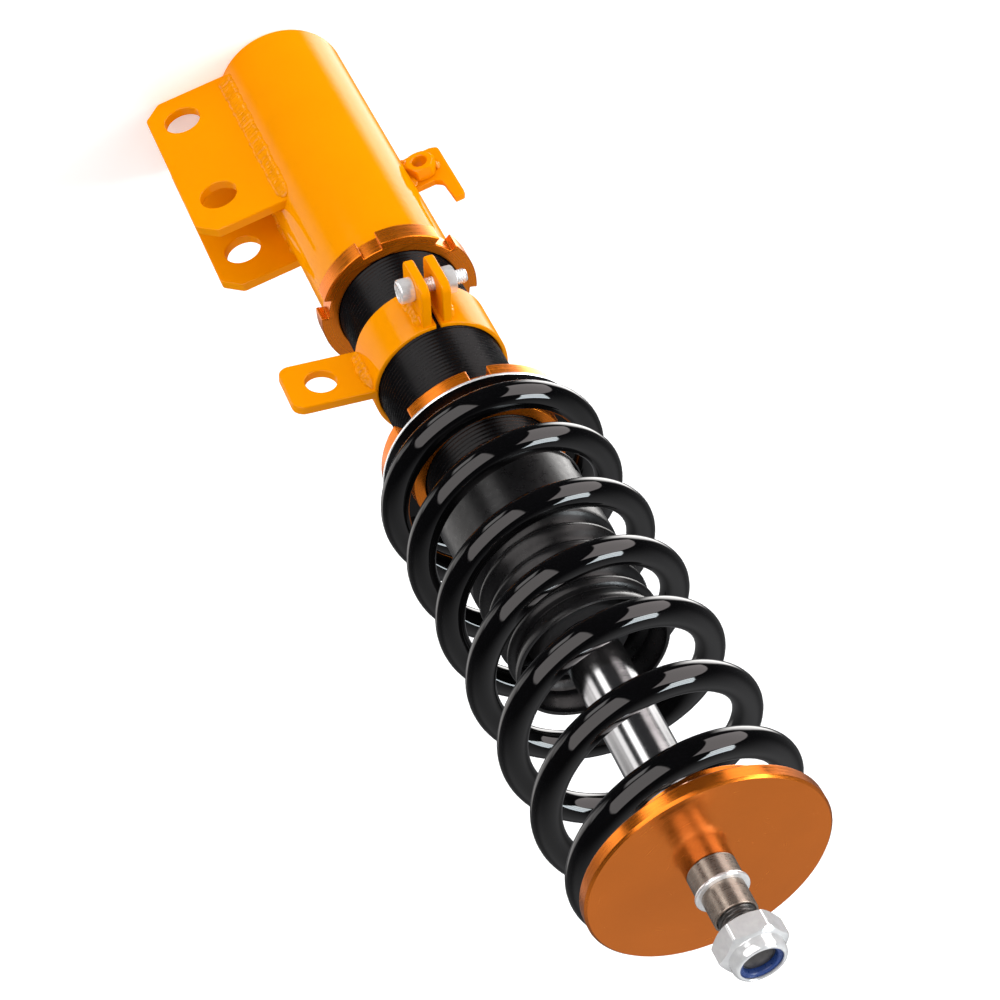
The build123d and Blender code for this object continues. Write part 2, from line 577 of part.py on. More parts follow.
def piston_rod():
    top = PERCH_BOTTOM - FACE_GAP
    body = ring(ROD_RADIUS, 0, ROD_SHOULDER, top - ROD_SHOULDER)
    body += ring(SPIGOT_RADIUS, 0, PISTON_NUT_BOTTOM, ROD_SHOULDER - PISTON_NUT_BOTTOM)
    return body + ring(STUD_RADIUS, 0, top, STUD_TOP - top)


def piston():
    radius = BORE_RADIUS - PISTON_EDGE_GAP
    body = ring(radius, SPIGOT_RADIUS, PISTON_BOTTOM, PISTON_THICKNESS)
    groove_bottom = PISTON_BOTTOM + (PISTON_THICKNESS - PISTON_BAND_HEIGHT) / 2
    groove_radius = radius - PISTON_BAND_DEPTH
    body -= ring(BORE_RADIUS + CUT_SPARE, groove_radius, groove_bottom, PISTON_BAND_HEIGHT)
    for step in range(PISTON_PORT_COUNT):
        port = ring(
            PISTON_PORT_RADIUS, 0, PISTON_BOTTOM - CUT_SPARE, PISTON_THICKNESS + 2 * CUT_SPARE)
        body -= Rot(0, 0, step * 360 / PISTON_PORT_COUNT) * Pos(PISTON_PORT_CIRCLE, 0, 0) * port
    return body


def piston_band():
    bottom = PISTON_BOTTOM + (PISTON_THICKNESS - PISTON_BAND_HEIGHT) / 2
    inner = BORE_RADIUS - PISTON_EDGE_GAP - PISTON_BAND_DEPTH
    return ring(BORE_RADIUS - RUNNING_GAP, inner, bottom, PISTON_BAND_HEIGHT)


def valve_shims():
    """Two stacks of thin steel discs that close the piston's ports."""
    discs = []
    for step in range(SHIM_COUNT):
        radius = SHIM_RADIUS - step * SHIM_STEP
        above = PISTON_TOP + step * SHIM_THICKNESS
        below = PISTON_BOTTOM - (step + 1) * SHIM_THICKNESS
        discs.append(ring(radius, SPIGOT_RADIUS, above, SHIM_THICKNESS).solid())
        discs.append(ring(radius, SPIGOT_RADIUS, below, SHIM_THICKNESS).solid())
    return Compound(children=discs)


def piston_nut():
    body = chamfered_hexagon(PISTON_NUT_ACROSS_FLATS, PISTON_NUT_BOTTOM, PISTON_NUT_HEIGHT)
    bottom = PISTON_NUT_BOTTOM - CUT_SPARE
    return body - ring(SPIGOT_RADIUS, 0, bottom, PISTON_NUT_HEIGHT + 2 * CUT_SPARE)


def stud_spacer():
    return ring(SPACER_RADIUS, STUD_RADIUS, SPACER_BOTTOM, SPACER_HEIGHT)


def stud_washer():
    return ring(STUD_WASHER_RADIUS, STUD_RADIUS, STUD_WASHER_BOTTOM, STUD_WASHER_THICKNESS)


def stud_sleeve():
    return ring(SLEEVE_RADIUS, STUD_RADIUS, SLEEVE_BOTTOM, SLEEVE_HEIGHT)


def top_nut():
    """Locking nut: a hexagon with a round collar that holds the nylon insert."""
    body = chamfered_hexagon(TOP_NUT_ACROSS_FLATS, TOP_NUT_BOTTOM, TOP_NUT_HEX_HEIGHT)
    collar_bottom = TOP_NUT_BOTTOM + TOP_NUT_HEX_HEIGHT
    body += ring(TOP_NUT_COLLAR_RADIUS, 0, collar_bottom, TOP_NUT_HEIGHT - TOP_NUT_HEX_HEIGHT)
    bottom = TOP_NUT_BOTTOM - CUT_SPARE
    body -= ring(STUD_RADIUS + RUNNING_GAP, 0, bottom, TOP_NUT_HEIGHT + 2 * CUT_SPARE)
    return body - ring(INSERT_RADIUS, 0, INSERT_BOTTOM, INSERT_HEIGHT + CUT_SPARE)


def nylon_insert():
    return ring(INSERT_RADIUS, INSERT_BORE_RADIUS, INSERT_BOTTOM, INSERT_HEIGHT - INSERT_SET_BACK)


NODES = {
    "strut_tube": strut_tube,
    "tube_base_plate": tube_base_plate,
    "knuckle_plate_front": lambda: knuckle_plate(-1),
    "knuckle_plate_rear": lambda: knuckle_plate(1),
    "knuckle_weld_beads": knuckle_weld_beads,
    "line_tab": line_tab,
    "line_tab_nut": line_tab_nut,
    "bracket_lock_ring": bracket_lock_ring,
    "threaded_body": threaded_body,
    "gland_nut": gland_nut,
    "rod_guide": rod_guide,
    "rod_seal": rod_seal,
    "floating_piston": floating_piston,
    "floating_piston_seal": floating_piston_seal,
    "dust_boot": dust_boot,
    "bump_stop": bump_stop,
    "clamp_band": clamp_band,
    "clamp_ears": clamp_ears,
    "link_tab": link_tab,
    "clamp_weld_beads": clamp_weld_beads,
    "clamp_bolt": clamp_bolt,
    "clamp_nut": clamp_nut,
    "perch_collar": perch_collar,
    "thrust_washer": thrust_washer,
    "coil_spring": coil_spring,
    "upper_perch": upper_perch,
    "piston_rod": piston_rod,
    "piston": piston,
    "piston_band": piston_band,
    "valve_shims": valve_shims,
    "piston_nut": piston_nut,
    "stud_spacer": stud_spacer,
    "stud_washer": stud_washer,
    "stud_sleeve": stud_sleeve,
    "top_nut": top_nut,
    "nylon_insert": nylon_insert,
}

os.makedirs("parts", exist_ok=True)
for name, build in NODES.items():
    export_step(build(), os.path.join("parts", name + ".step"))
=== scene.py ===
"""Looks of the coilover strut: meshes, materials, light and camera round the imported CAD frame.

Lengths in the tables below are millimetres, in the CAD frame (+Z along the strut axis).
"""
import math

import bmesh
import bpy
import numpy as np
from mathutils import Matrix, Vector, noise
from mathutils.geometry import tessellate_polygon


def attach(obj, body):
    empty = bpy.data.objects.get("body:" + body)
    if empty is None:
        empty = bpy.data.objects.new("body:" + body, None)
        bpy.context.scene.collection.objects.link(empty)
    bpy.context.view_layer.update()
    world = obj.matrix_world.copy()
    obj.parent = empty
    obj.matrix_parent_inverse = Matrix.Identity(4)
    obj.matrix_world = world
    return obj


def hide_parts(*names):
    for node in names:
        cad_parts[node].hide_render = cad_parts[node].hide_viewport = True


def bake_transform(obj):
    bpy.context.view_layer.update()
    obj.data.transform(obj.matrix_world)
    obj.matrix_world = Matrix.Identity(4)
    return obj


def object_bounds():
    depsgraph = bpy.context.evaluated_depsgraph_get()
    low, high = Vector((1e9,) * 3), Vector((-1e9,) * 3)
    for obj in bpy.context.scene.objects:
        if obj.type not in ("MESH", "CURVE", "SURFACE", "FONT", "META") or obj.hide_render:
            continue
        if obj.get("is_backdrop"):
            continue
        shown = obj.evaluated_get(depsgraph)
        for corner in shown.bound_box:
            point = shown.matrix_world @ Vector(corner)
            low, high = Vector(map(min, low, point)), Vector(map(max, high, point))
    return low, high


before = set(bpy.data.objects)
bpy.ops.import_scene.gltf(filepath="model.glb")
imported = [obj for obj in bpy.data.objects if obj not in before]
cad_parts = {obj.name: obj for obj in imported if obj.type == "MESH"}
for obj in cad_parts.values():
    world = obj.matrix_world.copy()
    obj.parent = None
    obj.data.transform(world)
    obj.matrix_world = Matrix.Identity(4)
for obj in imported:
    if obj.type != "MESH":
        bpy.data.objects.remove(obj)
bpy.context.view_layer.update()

MM = 0.001
TAU = math.tau


# ------------------------------------------------------------------ camera
CAMERA_PLACE = Vector((0.0679, -0.6803, 0.9016))
CAMERA_RIGHT = Vector((-0.9047, 0.2329, 0.3568))
CAMERA_BACK = Vector((0.0711, -0.7430, 0.6655))
CAMERA_LENS = 86.05

camera_data = bpy.data.cameras.new("camera")
camera = bpy.data.objects.new("camera", camera_data)
bpy.context.scene.collection.objects.link(camera)
back = CAMERA_BACK.normalized()
right = (CAMERA_RIGHT - back * CAMERA_RIGHT.dot(back)).normalized()
up = back.cross(right)
camera_turn = Matrix((right, up, back)).transposed().to_4x4()
camera.matrix_world = Matrix.Translation(CAMERA_PLACE) @ camera_turn
camera_data.lens = CAMERA_LENS
camera_data.sensor_width = 36.0
camera_data.clip_start = 0.05
camera_data.clip_end = 60.0
bpy.context.scene.camera = camera
bpy.context.scene.view_settings.view_transform = "Standard"


# ------------------------------------------------------------------ node helpers
class Nodes:
    """Adds nodes to a tree and links their inputs, which are named, or i0, i1 and so on by number."""

    def __init__(self, tree):
        self.tree = tree
        tree.nodes.clear()

    def add(self, kind, settings=None, **inputs):
        node = self.tree.nodes.new(kind)
        for key, value in (settings or {}).items():
            setattr(node, key, value)
        for key, value in inputs.items():
            by_number = key[0] == "i" and key[1:].isdigit()
            socket = node.inputs[int(key[1:]) if by_number else key.replace("_", " ")]
            if isinstance(value, bpy.types.NodeSocket):
                self.tree.links.new(value, socket)
            else:
                socket.default_value = value
        return node

    def math(self, operation, a, b=0.0, c=0.0):
        return self.add("ShaderNodeMath", {"operation": operation}, i0=a, i1=b, i2=c).outputs[0]

    def vector(self, operation, a, b=(0, 0, 0)):
        node = self.add("ShaderNodeVectorMath", {"operation": operation}, i0=a, i1=b)
        result = "Value" if operation == "DOT_PRODUCT" else "Vector"
        return node.outputs[result]

    def remap(self, value, low, high, out_low, out_high, smooth=False):
        kind = "SMOOTHSTEP" if smooth else "LINEAR"
        return self.add(
            "ShaderNodeMapRange", {"interpolation_type": kind}, Value=value, From_Min=low,
            From_Max=high, To_Min=out_low, To_Max=out_high).outputs[0]

    def noise(self, vector, scale, detail=2.0, roughness=0.5):
        return self.add(
            "ShaderNodeTexNoise", Vector=vector, Scale=scale, Detail=detail,
            Roughness=roughness).outputs["Fac"]

    def mix(self, factor, a, b):
        node = self.add("ShaderNodeMix", {"data_type": "RGBA"})
        for socket, value in ((node.inputs[0], factor), (node.inputs[6], a), (node.inputs[7], b)):
            if isinstance(value, bpy.types.NodeSocket):
                self.tree.links.new(value, socket)
            else:
                socket.default_value = value
        return node.outputs[2]


def rgba(color, gain=1.0):
    return tuple(min(1.0, c * gain) for c in color) + (1.0,)


def surface(name, color, roughness, metallic=0.0, coat=0.0, coat_roughness=0.04, ior=1.5,
            tint=0.12, tint_scale=60.0, rough_spread=0.05, grain_scale=900.0, grain=0.02,
            wave_scale=0.0, wave=0.0, turned=0.0, turned_scale=2500.0, specks=0.0,
            speck_color=(0.5, 0.5, 0.5), speck_scale=900.0, specular=0.5, subsurface=0.0):
    """Principled material with colour drift, uneven gloss, grain, peel, turning marks and specks."""
    material = bpy.data.materials.new(name)
    material.use_nodes = True
    n = Nodes(material.node_tree)
    output = n.add("ShaderNodeOutputMaterial")
    shader = n.add("ShaderNodeBsdfPrincipled")
    n.tree.links.new(shader.outputs[0], output.inputs[0])
    place = n.add("ShaderNodeTexCoord").outputs["Object"]
    drift = n.noise(place, tint_scale, 4.0, 0.6)
    base = n.mix(n.remap(drift, 0.3, 0.7, 0.0, 1.0), rgba(color, 1.0 - tint),
                 rgba(color, 1.0 + tint * 0.6))
    fine = n.noise(place, grain_scale, 3.0, 0.6)
    height = n.math("MULTIPLY", fine, grain)
    rough = n.remap(n.noise(place, tint_scale * 4, 3.0, 0.6), 0.3, 0.7, roughness - rough_spread,
                    roughness + rough_spread)
    if wave:
        peel = n.noise(place, wave_scale, 1.0, 0.4)
        height = n.math("ADD", height, n.math("MULTIPLY", peel, wave))
    if turned:
        parts = n.add("ShaderNodeSeparateXYZ", i0=place).outputs
        across = n.math("SQRT", n.math("ADD", n.math("MULTIPLY", parts[0], parts[0]),
                                       n.math("MULTIPLY", parts[1], parts[1])))
        wander = n.math("MULTIPLY", n.noise(place, 25.0, 1.0), 0.6)
        rings = n.add("ShaderNodeCombineXYZ", X=n.math("MULTIPLY", across, turned_scale),
                      Y=n.math("MULTIPLY", parts[2], turned_scale), Z=wander).outputs[0]
        lathe_marks = n.noise(rings, 1.0, 3.0, 0.65)
        height = n.math("ADD", height, n.math("MULTIPLY", lathe_marks, turned))
        rough = n.math("ADD", rough, n.remap(lathe_marks, 0.35, 0.65, -0.05, 0.06))
    if specks:
        dots = n.add("ShaderNodeTexVoronoi", Vector=place, Scale=speck_scale).outputs["Distance"]
        patchy = n.noise(place, tint_scale * 2.0, 2.0)
        mask = n.math("MULTIPLY", n.remap(dots, 0.05, 0.16, 1.0, 0.0),
                      n.remap(patchy, 0.55, 0.7, 0.0, specks))
        base = n.mix(mask, base, rgba(speck_color))
    bump = n.add("ShaderNodeBump", Height=height, Strength=1.0, Distance=0.001)
    n.tree.links.new(bump.outputs[0], shader.inputs["Normal"])
    if coat:
        n.tree.links.new(bump.outputs[0], shader.inputs["Coat Normal"])
    n.tree.links.new(base, shader.inputs["Base Color"])
    n.tree.links.new(rough, shader.inputs["Roughness"])
    shader.inputs["Metallic"].default_value = metallic
    shader.inputs["IOR"].default_value = ior
    shader.inputs["Specular IOR Level"].default_value = specular
    shader.inputs["Coat Weight"].default_value = coat
    shader.inputs["Coat Roughness"].default_value = coat_roughness
    shader.inputs["Subsurface Weight"].default_value = subsurface
    shader.inputs["Subsurface Radius"].default_value = (0.001, 0.001, 0.001)
    return material


PAINT = surface(
    "amber_enamel", (0.80, 0.268, 0.0), 0.35, specular=0.0, coat=0.34, coat_roughness=0.06, tint=0.04,
    tint_scale=22.0, grain_scale=1500.0, grain=0.006, wave_scale=330.0, wave=0.035,
    specks=0.35, speck_color=(0.75, 0.25, 0.01), speck_scale=500.0)
WELD_PAINT = surface(
    "amber_enamel_on_weld", (0.80, 0.27, 0.0), 0.34, specular=0.0, coat=0.6, coat_roughness=0.08,
    tint=0.14, tint_scale=160.0, grain_scale=1200.0, grain=0.05, wave_scale=420.0, wave=0.12)
ORANGE = surface(
    "orange_anodised", (0.86, 0.215, 0.006), 0.28, metallic=0.85, coat=0.12, coat_roughness=0.2,
    tint=0.05, tint_scale=30.0, grain_scale=3500.0, grain=0.0012, turned=0.0009)
DISC_ORANGE = surface(
    "orange_anodised_face", (0.94, 0.235, 0.018), 0.19, metallic=0.93, coat=0.1, coat_roughness=0.2,
    tint=0.06, tint_scale=26.0, grain_scale=3500.0, grain=0.001, turned=0.0006, turned_scale=1500.0)
BLACK_THREAD = surface(
    "black_thread", (0.0025, 0.0025, 0.003), 0.26, specular=0.14, coat=0.08, coat_roughness=0.25,
    tint=0.25, tint_scale=80.0, grain_scale=2500.0, grain=0.01, specks=0.25,
    speck_color=(0.16, 0.16, 0.17), speck_scale=1500.0)
POWDER = surface(
    "black_powder_coat", (0.0011, 0.0011, 0.0013), 0.3, specular=0.0, coat=1.0, coat_roughness=0.035,
    ior=1.55, tint=0.2, tint_scale=45.0, rough_spread=0.03, grain_scale=1800.0, grain=0.0006,
    wave_scale=180.0, wave=0.012, specks=0.25, speck_color=(0.05, 0.05, 0.05), speck_scale=700.0)
RUBBER = surface(
    "black_rubber", (0.006, 0.006, 0.0065), 0.3, specular=0.35, tint=0.2, tint_scale=90.0,
    grain_scale=1500.0, grain=0.005, wave_scale=260.0, wave=0.02, specks=0.2, speck_color=(0.07, 0.065, 0.06),
    speck_scale=1100.0)
CHROME = surface(
    "hard_chrome", (0.62, 0.62, 0.63), 0.17, metallic=1.0, tint=0.03, tint_scale=60.0,
    rough_spread=0.02, grain_scale=4000.0, grain=0.001, turned=0.0015, turned_scale=5200.0)
# Metallic 0.6 over a near-white base makes part of the zinc diffuse white: a painted reflection of the pale
# floor, which mirror rays don't see.
ZINC = surface(
    "zinc_with_painted_floor_reflection", (0.93, 0.95, 0.96), 0.13, metallic=0.6, tint=0.10, tint_scale=420.0,
    rough_spread=0.06, grain_scale=2600.0, grain=0.012, wave_scale=520.0, wave=0.03)
# The bronze tint of this steel is a painted reflection of the orange perch disc, which mirror rays don't see.
STEEL = surface(
    "steel_with_painted_disc_reflection", (0.36, 0.30, 0.25), 0.3, metallic=0.85, tint=0.10, tint_scale=200.0,
    grain_scale=3200.0, grain=0.004, turned=0.0016, turned_scale=3600.0)
DARK_STEEL = surface(
    "dark_stud_steel", (0.14, 0.135, 0.13), 0.32, metallic=0.9, tint=0.25, tint_scale=260.0,
    grain_scale=2600.0, grain=0.02)
NYLON = surface(
    "blue_nylon", (0.018, 0.045, 0.17), 0.30, tint=0.15, tint_scale=300.0, grain_scale=2400.0,
    grain=0.02, subsurface=0.05)
FOAM = surface(
    "black_foam", (0.012, 0.012, 0.013), 0.75, tint=0.12, tint_scale=300.0, grain_scale=1800.0,
    grain=0.15)
PTFE = surface(
    "bronze_filled_ptfe", (0.15, 0.17, 0.11), 0.5, tint=0.2, tint_scale=400.0, grain_scale=2500.0,
    grain=0.03)


# ------------------------------------------------------------------ mesh helpers
def soften(points, radius, steps=4):
    """Closed loop with its corners rounded; a third number in a point is its own radius."""
    out = []
    count = len(points)
    for i, point in enumerate(points):
        own = point[2] if len(point) > 2 else radius
        here = Vector(point[:2])
        if own <= 0:
            out.append((here.x, here.y))
            continue
        before = Vector(points[i - 1][:2]) - here
        after = Vector(points[(i + 1) % count][:2]) - here
        angle = before.angle(after)
        reach = min(own / math.tan(angle / 2), before.length * 0.48, after.length * 0.48)
        bow = reach * math.tan(angle / 2)
        inward = (before.normalized() + after.normalized()).normalized()
        middle = here + inward * (bow / math.sin(angle / 2))
        start = here + before.normalized() * reach - middle
        end = here + after.normalized() * reach - middle
        sweep = start.angle_signed(end)
        for k in range(steps + 1):
            turn = -sweep * k / steps
            c, s = math.cos(turn), math.sin(turn)
            out.append((middle.x + start.x * c - start.y * s, middle.y + start.x * s + start.y * c))
    return out


def hole(x, y, radius, count):
    """Clockwise circle, as Shape.slab wants its holes."""
    return [(x + radius * math.cos(-TAU * k / count), y + radius * math.sin(-TAU * k / count))
            for k in range(count)]


SLAB_EDGE_STEPS = 3


class Shape:
    """Vertices in millimetres and faces, gathered before they become a mesh."""

    def __init__(self):
        self.verts = []
        self.faces = []

    def grid(self, rows, wrap_rows=False, keep=None):
        """Quads between closed rows of equal length; keep(row, column) says which ones stay."""
        start = len(self.verts)
        width = len(rows[0])
        for row in rows:
            self.verts += [tuple(v) for v in row]
        last = len(rows) if wrap_rows else len(rows) - 1
        for i in range(last):
            for j in range(width):
                if keep and not keep(i, j):
                    continue
                a, b = i * width, ((i + 1) % len(rows)) * width
                k = (j + 1) % width
                self.faces.append((start + a + j, start + a + k, start + b + k, start + b + j))
        return start

    def polar(self, rings, segments=96, closed=True, place=None):
        """Surface round +Z from (radius, height) rings; either may be a function of the angle."""
        rows = []
        for radius, height in rings:
            row = []
            for k in range(segments):
                a = TAU * k / segments
                r = radius(a) if callable(radius) else radius
                z = height(a) if callable(height) else height
                point = Vector((r * math.cos(a), r * math.sin(a), z))
                row.append(place @ point if place else point)
            rows.append(row)
        self.grid(rows, wrap_rows=closed)

    def slab(self, outline, holes, low, high, edge, place=None):
        """Plate from low to high with rounded edges, from a loop and its clockwise holes."""
        levels = []
        for k in range(SLAB_EDGE_STEPS + 1):
            a = math.pi / 2 * k / SLAB_EDGE_STEPS
            levels.append((edge * (1 - math.sin(a)), low + edge * (1 - math.cos(a))))
        levels += [(inset, low + high - z) for inset, z in reversed(levels)]
        loops = [outline] + list(holes)
        caps = [[], []]
        for loop in loops:
            count = len(loop)
            outward = []
            for i in range(count):
                here = Vector(loop[i])
                e1 = (here - Vector(loop[i - 1])).normalized()
                e2 = (Vector(loop[(i + 1) % count]) - here).normalized()
                n1, n2 = Vector((e1.y, -e1.x)), Vector((e2.y, -e2.x))
                outward.append((n1 + n2) / max(0.3, 1 + n1.dot(n2)))
            rows = []
            for inset, z in levels:
                row = []
                for i in range(count):
                    p = Vector(loop[i]) - outward[i] * inset
                    point = Vector((p.x, p.y, z))
                    row.append(place @ point if place else point)
                rows.append(row)
            start = self.grid(rows)
            caps[0].append((start, count))
            caps[1].append((start + (len(levels) - 1) * count, count))
        for side in caps:
            index = [s + k for s, count in side for k in range(count)]
            local = []
            for (s, count), loop in zip(side, loops):
                local.append([Vector((p[0], p[1], 0)) for p in loop])
            for triangle in tessellate_polygon(local):
                self.faces.append(tuple(index[k] for k in triangle))

    def finish(self, name, material, body, replaces=(), sharp=32.0, weighted=True):
        mesh = bpy.data.meshes.new(name)
        mesh.from_pydata([[c * MM for c in v] for v in self.verts], [], self.faces)
        b = bmesh.new()
        b.from_mesh(mesh)
        bmesh.ops.remove_doubles(b, verts=b.verts, dist=1e-6)
        bmesh.ops.dissolve_degenerate(b, dist=1e-7, edges=b.edges)
        bmesh.ops.recalc_face_normals(b, faces=b.faces)
        b.to_mesh(mesh)
        b.free()
        mesh.shade_smooth()
        mesh.set_sharp_from_angle(angle=math.radians(sharp))
        mesh.materials.append(material)
        piece = bpy.data.objects.new(name, mesh)
        bpy.context.scene.collection.objects.link(piece)
        if weighted:
            normals = piece.modifiers.new("weighted_normals", "WEIGHTED_NORMAL")
            normals.mode = "FACE_AREA"
            normals.weight = 85
            normals.keep_sharp = True
        if body:
            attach(piece, body)
        if replaces:
            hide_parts(*replaces)
        return piece


def turned_piece(name, profile, material, body, replaces, edge=0.4, segments=128, steps=4):
    shape = Shape()
    shape.polar(soften(profile, edge, steps), segments)
    return shape.finish(name, material, body, replaces)


def flat_place(origin, u, v, w):
    """Matrix that puts a slab's x, y and z along the directions u, v and w."""
    m = Matrix((Vector(u), Vector(v), Vector(w))).transposed().to_4x4()
    return Matrix.Translation(Vector(origin)) @ m


def around(angle, radius=1.0):
    a = math.radians(angle)
    return Vector((radius * math.cos(a), radius * math.sin(a), 0))


# ------------------------------------------------------------------ threads, nuts and welds
def thread_radius(root, depth, pitch, low, high, fade):
    """Radius of a helical thread as a function of angle and height, fading out at both ends."""
    def at(angle, z):
        phase = ((z - pitch * angle / TAU) / pitch) % 1.0
        crest = min(1.0, max(0.0, (0.5 - abs(phase - 0.5)) * 2.6 - 0.15))
        fade_in = min(1.0, max(0.0, (z - low) / fade)) * min(1.0, max(0.0, (high - z) / fade))
        return root + depth * crest * fade_in
    return at


def thread_rings(root, depth, pitch, low, high, per_pitch, fade=1.5):
    """Rings of a threaded rod or body from low to high, without its ends."""
    at = thread_radius(root, depth, pitch, low, high, fade)
    count = int((high - low) / pitch * per_pitch)
    return [(lambda a, z=low + (high - low) * k / count: at(a, z), low + (high - low) * k / count)
            for k in range(count + 1)]


def hex_radius(flats, cut=0.975, turn=0.0):
    def at(angle):
        a = (angle - math.radians(turn)) % (math.pi / 3) - math.pi / 6
        return min(flats / 2 / math.cos(a), flats / math.sqrt(3) * cut)
    return at


def hex_rings(flats, low, high, bore, turn=0.0):
    """Rings of a hexagon nut whose corners are turned off by cones."""
    lip = 0.5
    side = hex_radius(flats, turn=turn)
    flat = flats / 2 * 0.955
    slope = math.tan(math.radians(30))

    def drop(angle):
        return max(0.0, side(angle) - flat) * slope

    rings = [(bore, low + lip), (bore + lip, low), (flat, low), (side, lambda a: low + drop(a) + 0.05)]
    for k in range(1, 4):
        rings.append((side, low + (high - low) * (0.2 + 0.2 * k)))
    rings += [(side, lambda a: high - drop(a) - 0.05), (flat, high)]
    return rings + [(bore + lip, high), (bore, high - lip)]


def weld(shape, start, end, along_plate, along_tube, leg, ripple, seed, rag):
    """Rippled fillet weld along a corner line, with uneven legs."""
    start, end = Vector(start), Vector(end)
    length = (end - start).length
    count = max(20, int(length / 0.45))
    width = 11
    u, v = Vector(along_plate).normalized(), Vector(along_tube).normalized()
    inward = -(u + v).normalized()
    rows = []
    for i in range(count + 1):
        s = i / count
        x = s * length
        taper = min(1.0, math.sqrt(max(0.0, min(x, length - x)) / leg) + 0.02)
        sway = noise.noise(Vector((x * 0.21, seed, 0.3)))
        lump = noise.noise(Vector((x * 0.75, seed + 9.0, 0.7)))
        row = []
        for k in range(width):
            q = k / (width - 1)
            lag = 0.9 * math.sin(math.pi * q)
            phase = ((x + lag * ripple * 0.5) / ripple + 0.35 * sway) % 1.0
            scale = phase ** 0.6 * 0.14 - 0.08
            reach = leg * taper * (1 + rag * sway + 0.5 * rag * lump)
            side_u = math.cos(q * math.pi / 2) ** 0.85
            side_v = math.sin(q * math.pi / 2) ** 0.85
            bulge = 0.72 + scale + 0.10 * lump
            rim = 1.0 - (1.0 - bulge) * math.sin(math.pi * q)
            point = start.lerp(end, s) + (u * side_u + v * side_v) * reach * rim
            if k in (0, width - 1):
                point += inward * 0.5
            row.append(point)
        row.append(start.lerp(end, s) + inward * 0.9)
        rows.append(row)
    base = shape.grid(rows)
    columns = width + 1
    shape.faces.append(tuple(base + k for k in reversed(range(columns))))
    shape.faces.append(tuple(base + count * columns + k for k in range(columns)))


# ------------------------------------------------------------------ bracket
AXIS = 0.001  # a profile's points on the axis stay this far off it
TUBE_OUT, TUBE_IN, TUBE_TOP = 30.0, 26.8, 160.0
KNUCKLE_HOLE_X, KNUCKLE_HOLE_RADIUS = 49.0, 8.25
KNUCKLE_HOLE_HEIGHTS = (19.0, 78.0)
LINE_HOLE_X, LINE_HOLE_Z = -36.2, 99.5
LINE_TAB_HALF = 1.5
turned_piece("bracket_tube", [
    (TUBE_IN, 0.4), (TUBE_OUT, 0.0, 1.2), (TUBE_OUT, TUBE_TOP, 0.5), (TUBE_IN, TUBE_TOP)],
    PAINT, "lower_mount", ["strut_tube"], segments=160)
turned_piece("bracket_tube_cap", [
    (AXIS, 1.2, 0), (21.0, 1.2), (23.0, 0.3), (TUBE_IN, 0.3), (TUBE_IN, 5.0), (AXIS, 5.0, 0)],
    PAINT, "lower_mount", ["tube_base_plate"], edge=0.6)

PLATE_FACES = {"front": (-19.1, -14.6), "rear": (14.6, 19.1)}
PLATE_OUTLINE = [
    (22.6, 1.0, 0), (56.0, 1.0, 2.5), (64.0, 9.0, 2.5), (64.0, 92.0, 2.5), (56.0, 100.0, 2.5),
    (22.6, 100.0, 0)]
XZ = flat_place((0, 0, 0), (1, 0, 0), (0, 0, 1), (0, -1, 0))
for plate_name, (near, far) in PLATE_FACES.items():
    plate = Shape()
    plate.slab(soften(PLATE_OUTLINE, 2.0),
               [hole(KNUCKLE_HOLE_X, z, KNUCKLE_HOLE_RADIUS, 64) for z in KNUCKLE_HOLE_HEIGHTS],
               -far, -near, 0.7, XZ)
    plate.finish("knuckle_plate_" + plate_name + "_skin", PAINT, "lower_mount",
                 ["knuckle_plate_" + plate_name])

knuckle_welds = Shape()
for index, (face, side) in enumerate(((-19.1, -1), (-14.6, 1), (14.6, -1), (19.1, 1))):
    x = math.sqrt(TUBE_OUT ** 2 - face ** 2)
    tangent = Vector((-face * side, x * side, 0)).normalized()
    if tangent.y * side < 0:
        tangent = -tangent
    weld(knuckle_welds, (x, face, 2.5), (x, face, 98.5), (1, 0, 0), tangent, 4.4, 2.2, 3.0 + index * 5,
         0.22)
knuckle_welds.finish("knuckle_welds", WELD_PAINT, "lower_mount",
                     ["knuckle_weld_beads"], sharp=55, weighted=False)

TAB_OUTLINE = [
    (-29.2, 86.5, 0), (-29.2, 108.0, 0), (-38.6, 108.0, 0.6), (-41.6, 110.5, 3.5), (-42.4, 124.0, 0.5),
    (-46.6, 124.0, 0.8), (-47.6, 121.5, 0.8), (-47.6, 88.0, 2.2), (-44.0, 86.5, 1.5)]
tab = Shape()
tab.slab(soften(TAB_OUTLINE, 0.6), [hole(LINE_HOLE_X, LINE_HOLE_Z, 4.3, 40)], -LINE_TAB_HALF,
         LINE_TAB_HALF, 0.5, XZ)
tab.finish("line_tab_skin", PAINT, "lower_mount", ["line_tab"])
line_nut = Shape()
line_nut.polar(hex_rings(12.0, 0.0, 6.5, 3.4), 96, True,
               flat_place((LINE_HOLE_X, -LINE_TAB_HALF, LINE_HOLE_Z), (1, 0, 0), (0, 0, 1), (0, -1, 0)))
line_nut.finish("line_tab_nut_skin", PAINT, "lower_mount", ["line_tab_nut"])
tab_welds = Shape()
for side in (-1, 1):
    weld(tab_welds, (-TUBE_OUT, side * LINE_TAB_HALF, 87.5), (-TUBE_OUT, side * LINE_TAB_HALF, 107.0),
         (-1, 0, 0), (0, side, 0), 3.0, 2.4, 60.0 + side, 0.3)
weld(tab_welds, (-42.6, -LINE_TAB_HALF, 96.5), (-42.6, -LINE_TAB_HALF, 102.5), (-1, 0, 0), (0, -1, 0),
     2.2, 2.0, 70.0, 0.3)
tab_welds.finish("line_tab_welds", WELD_PAINT, "lower_mount", sharp=55, weighted=False)


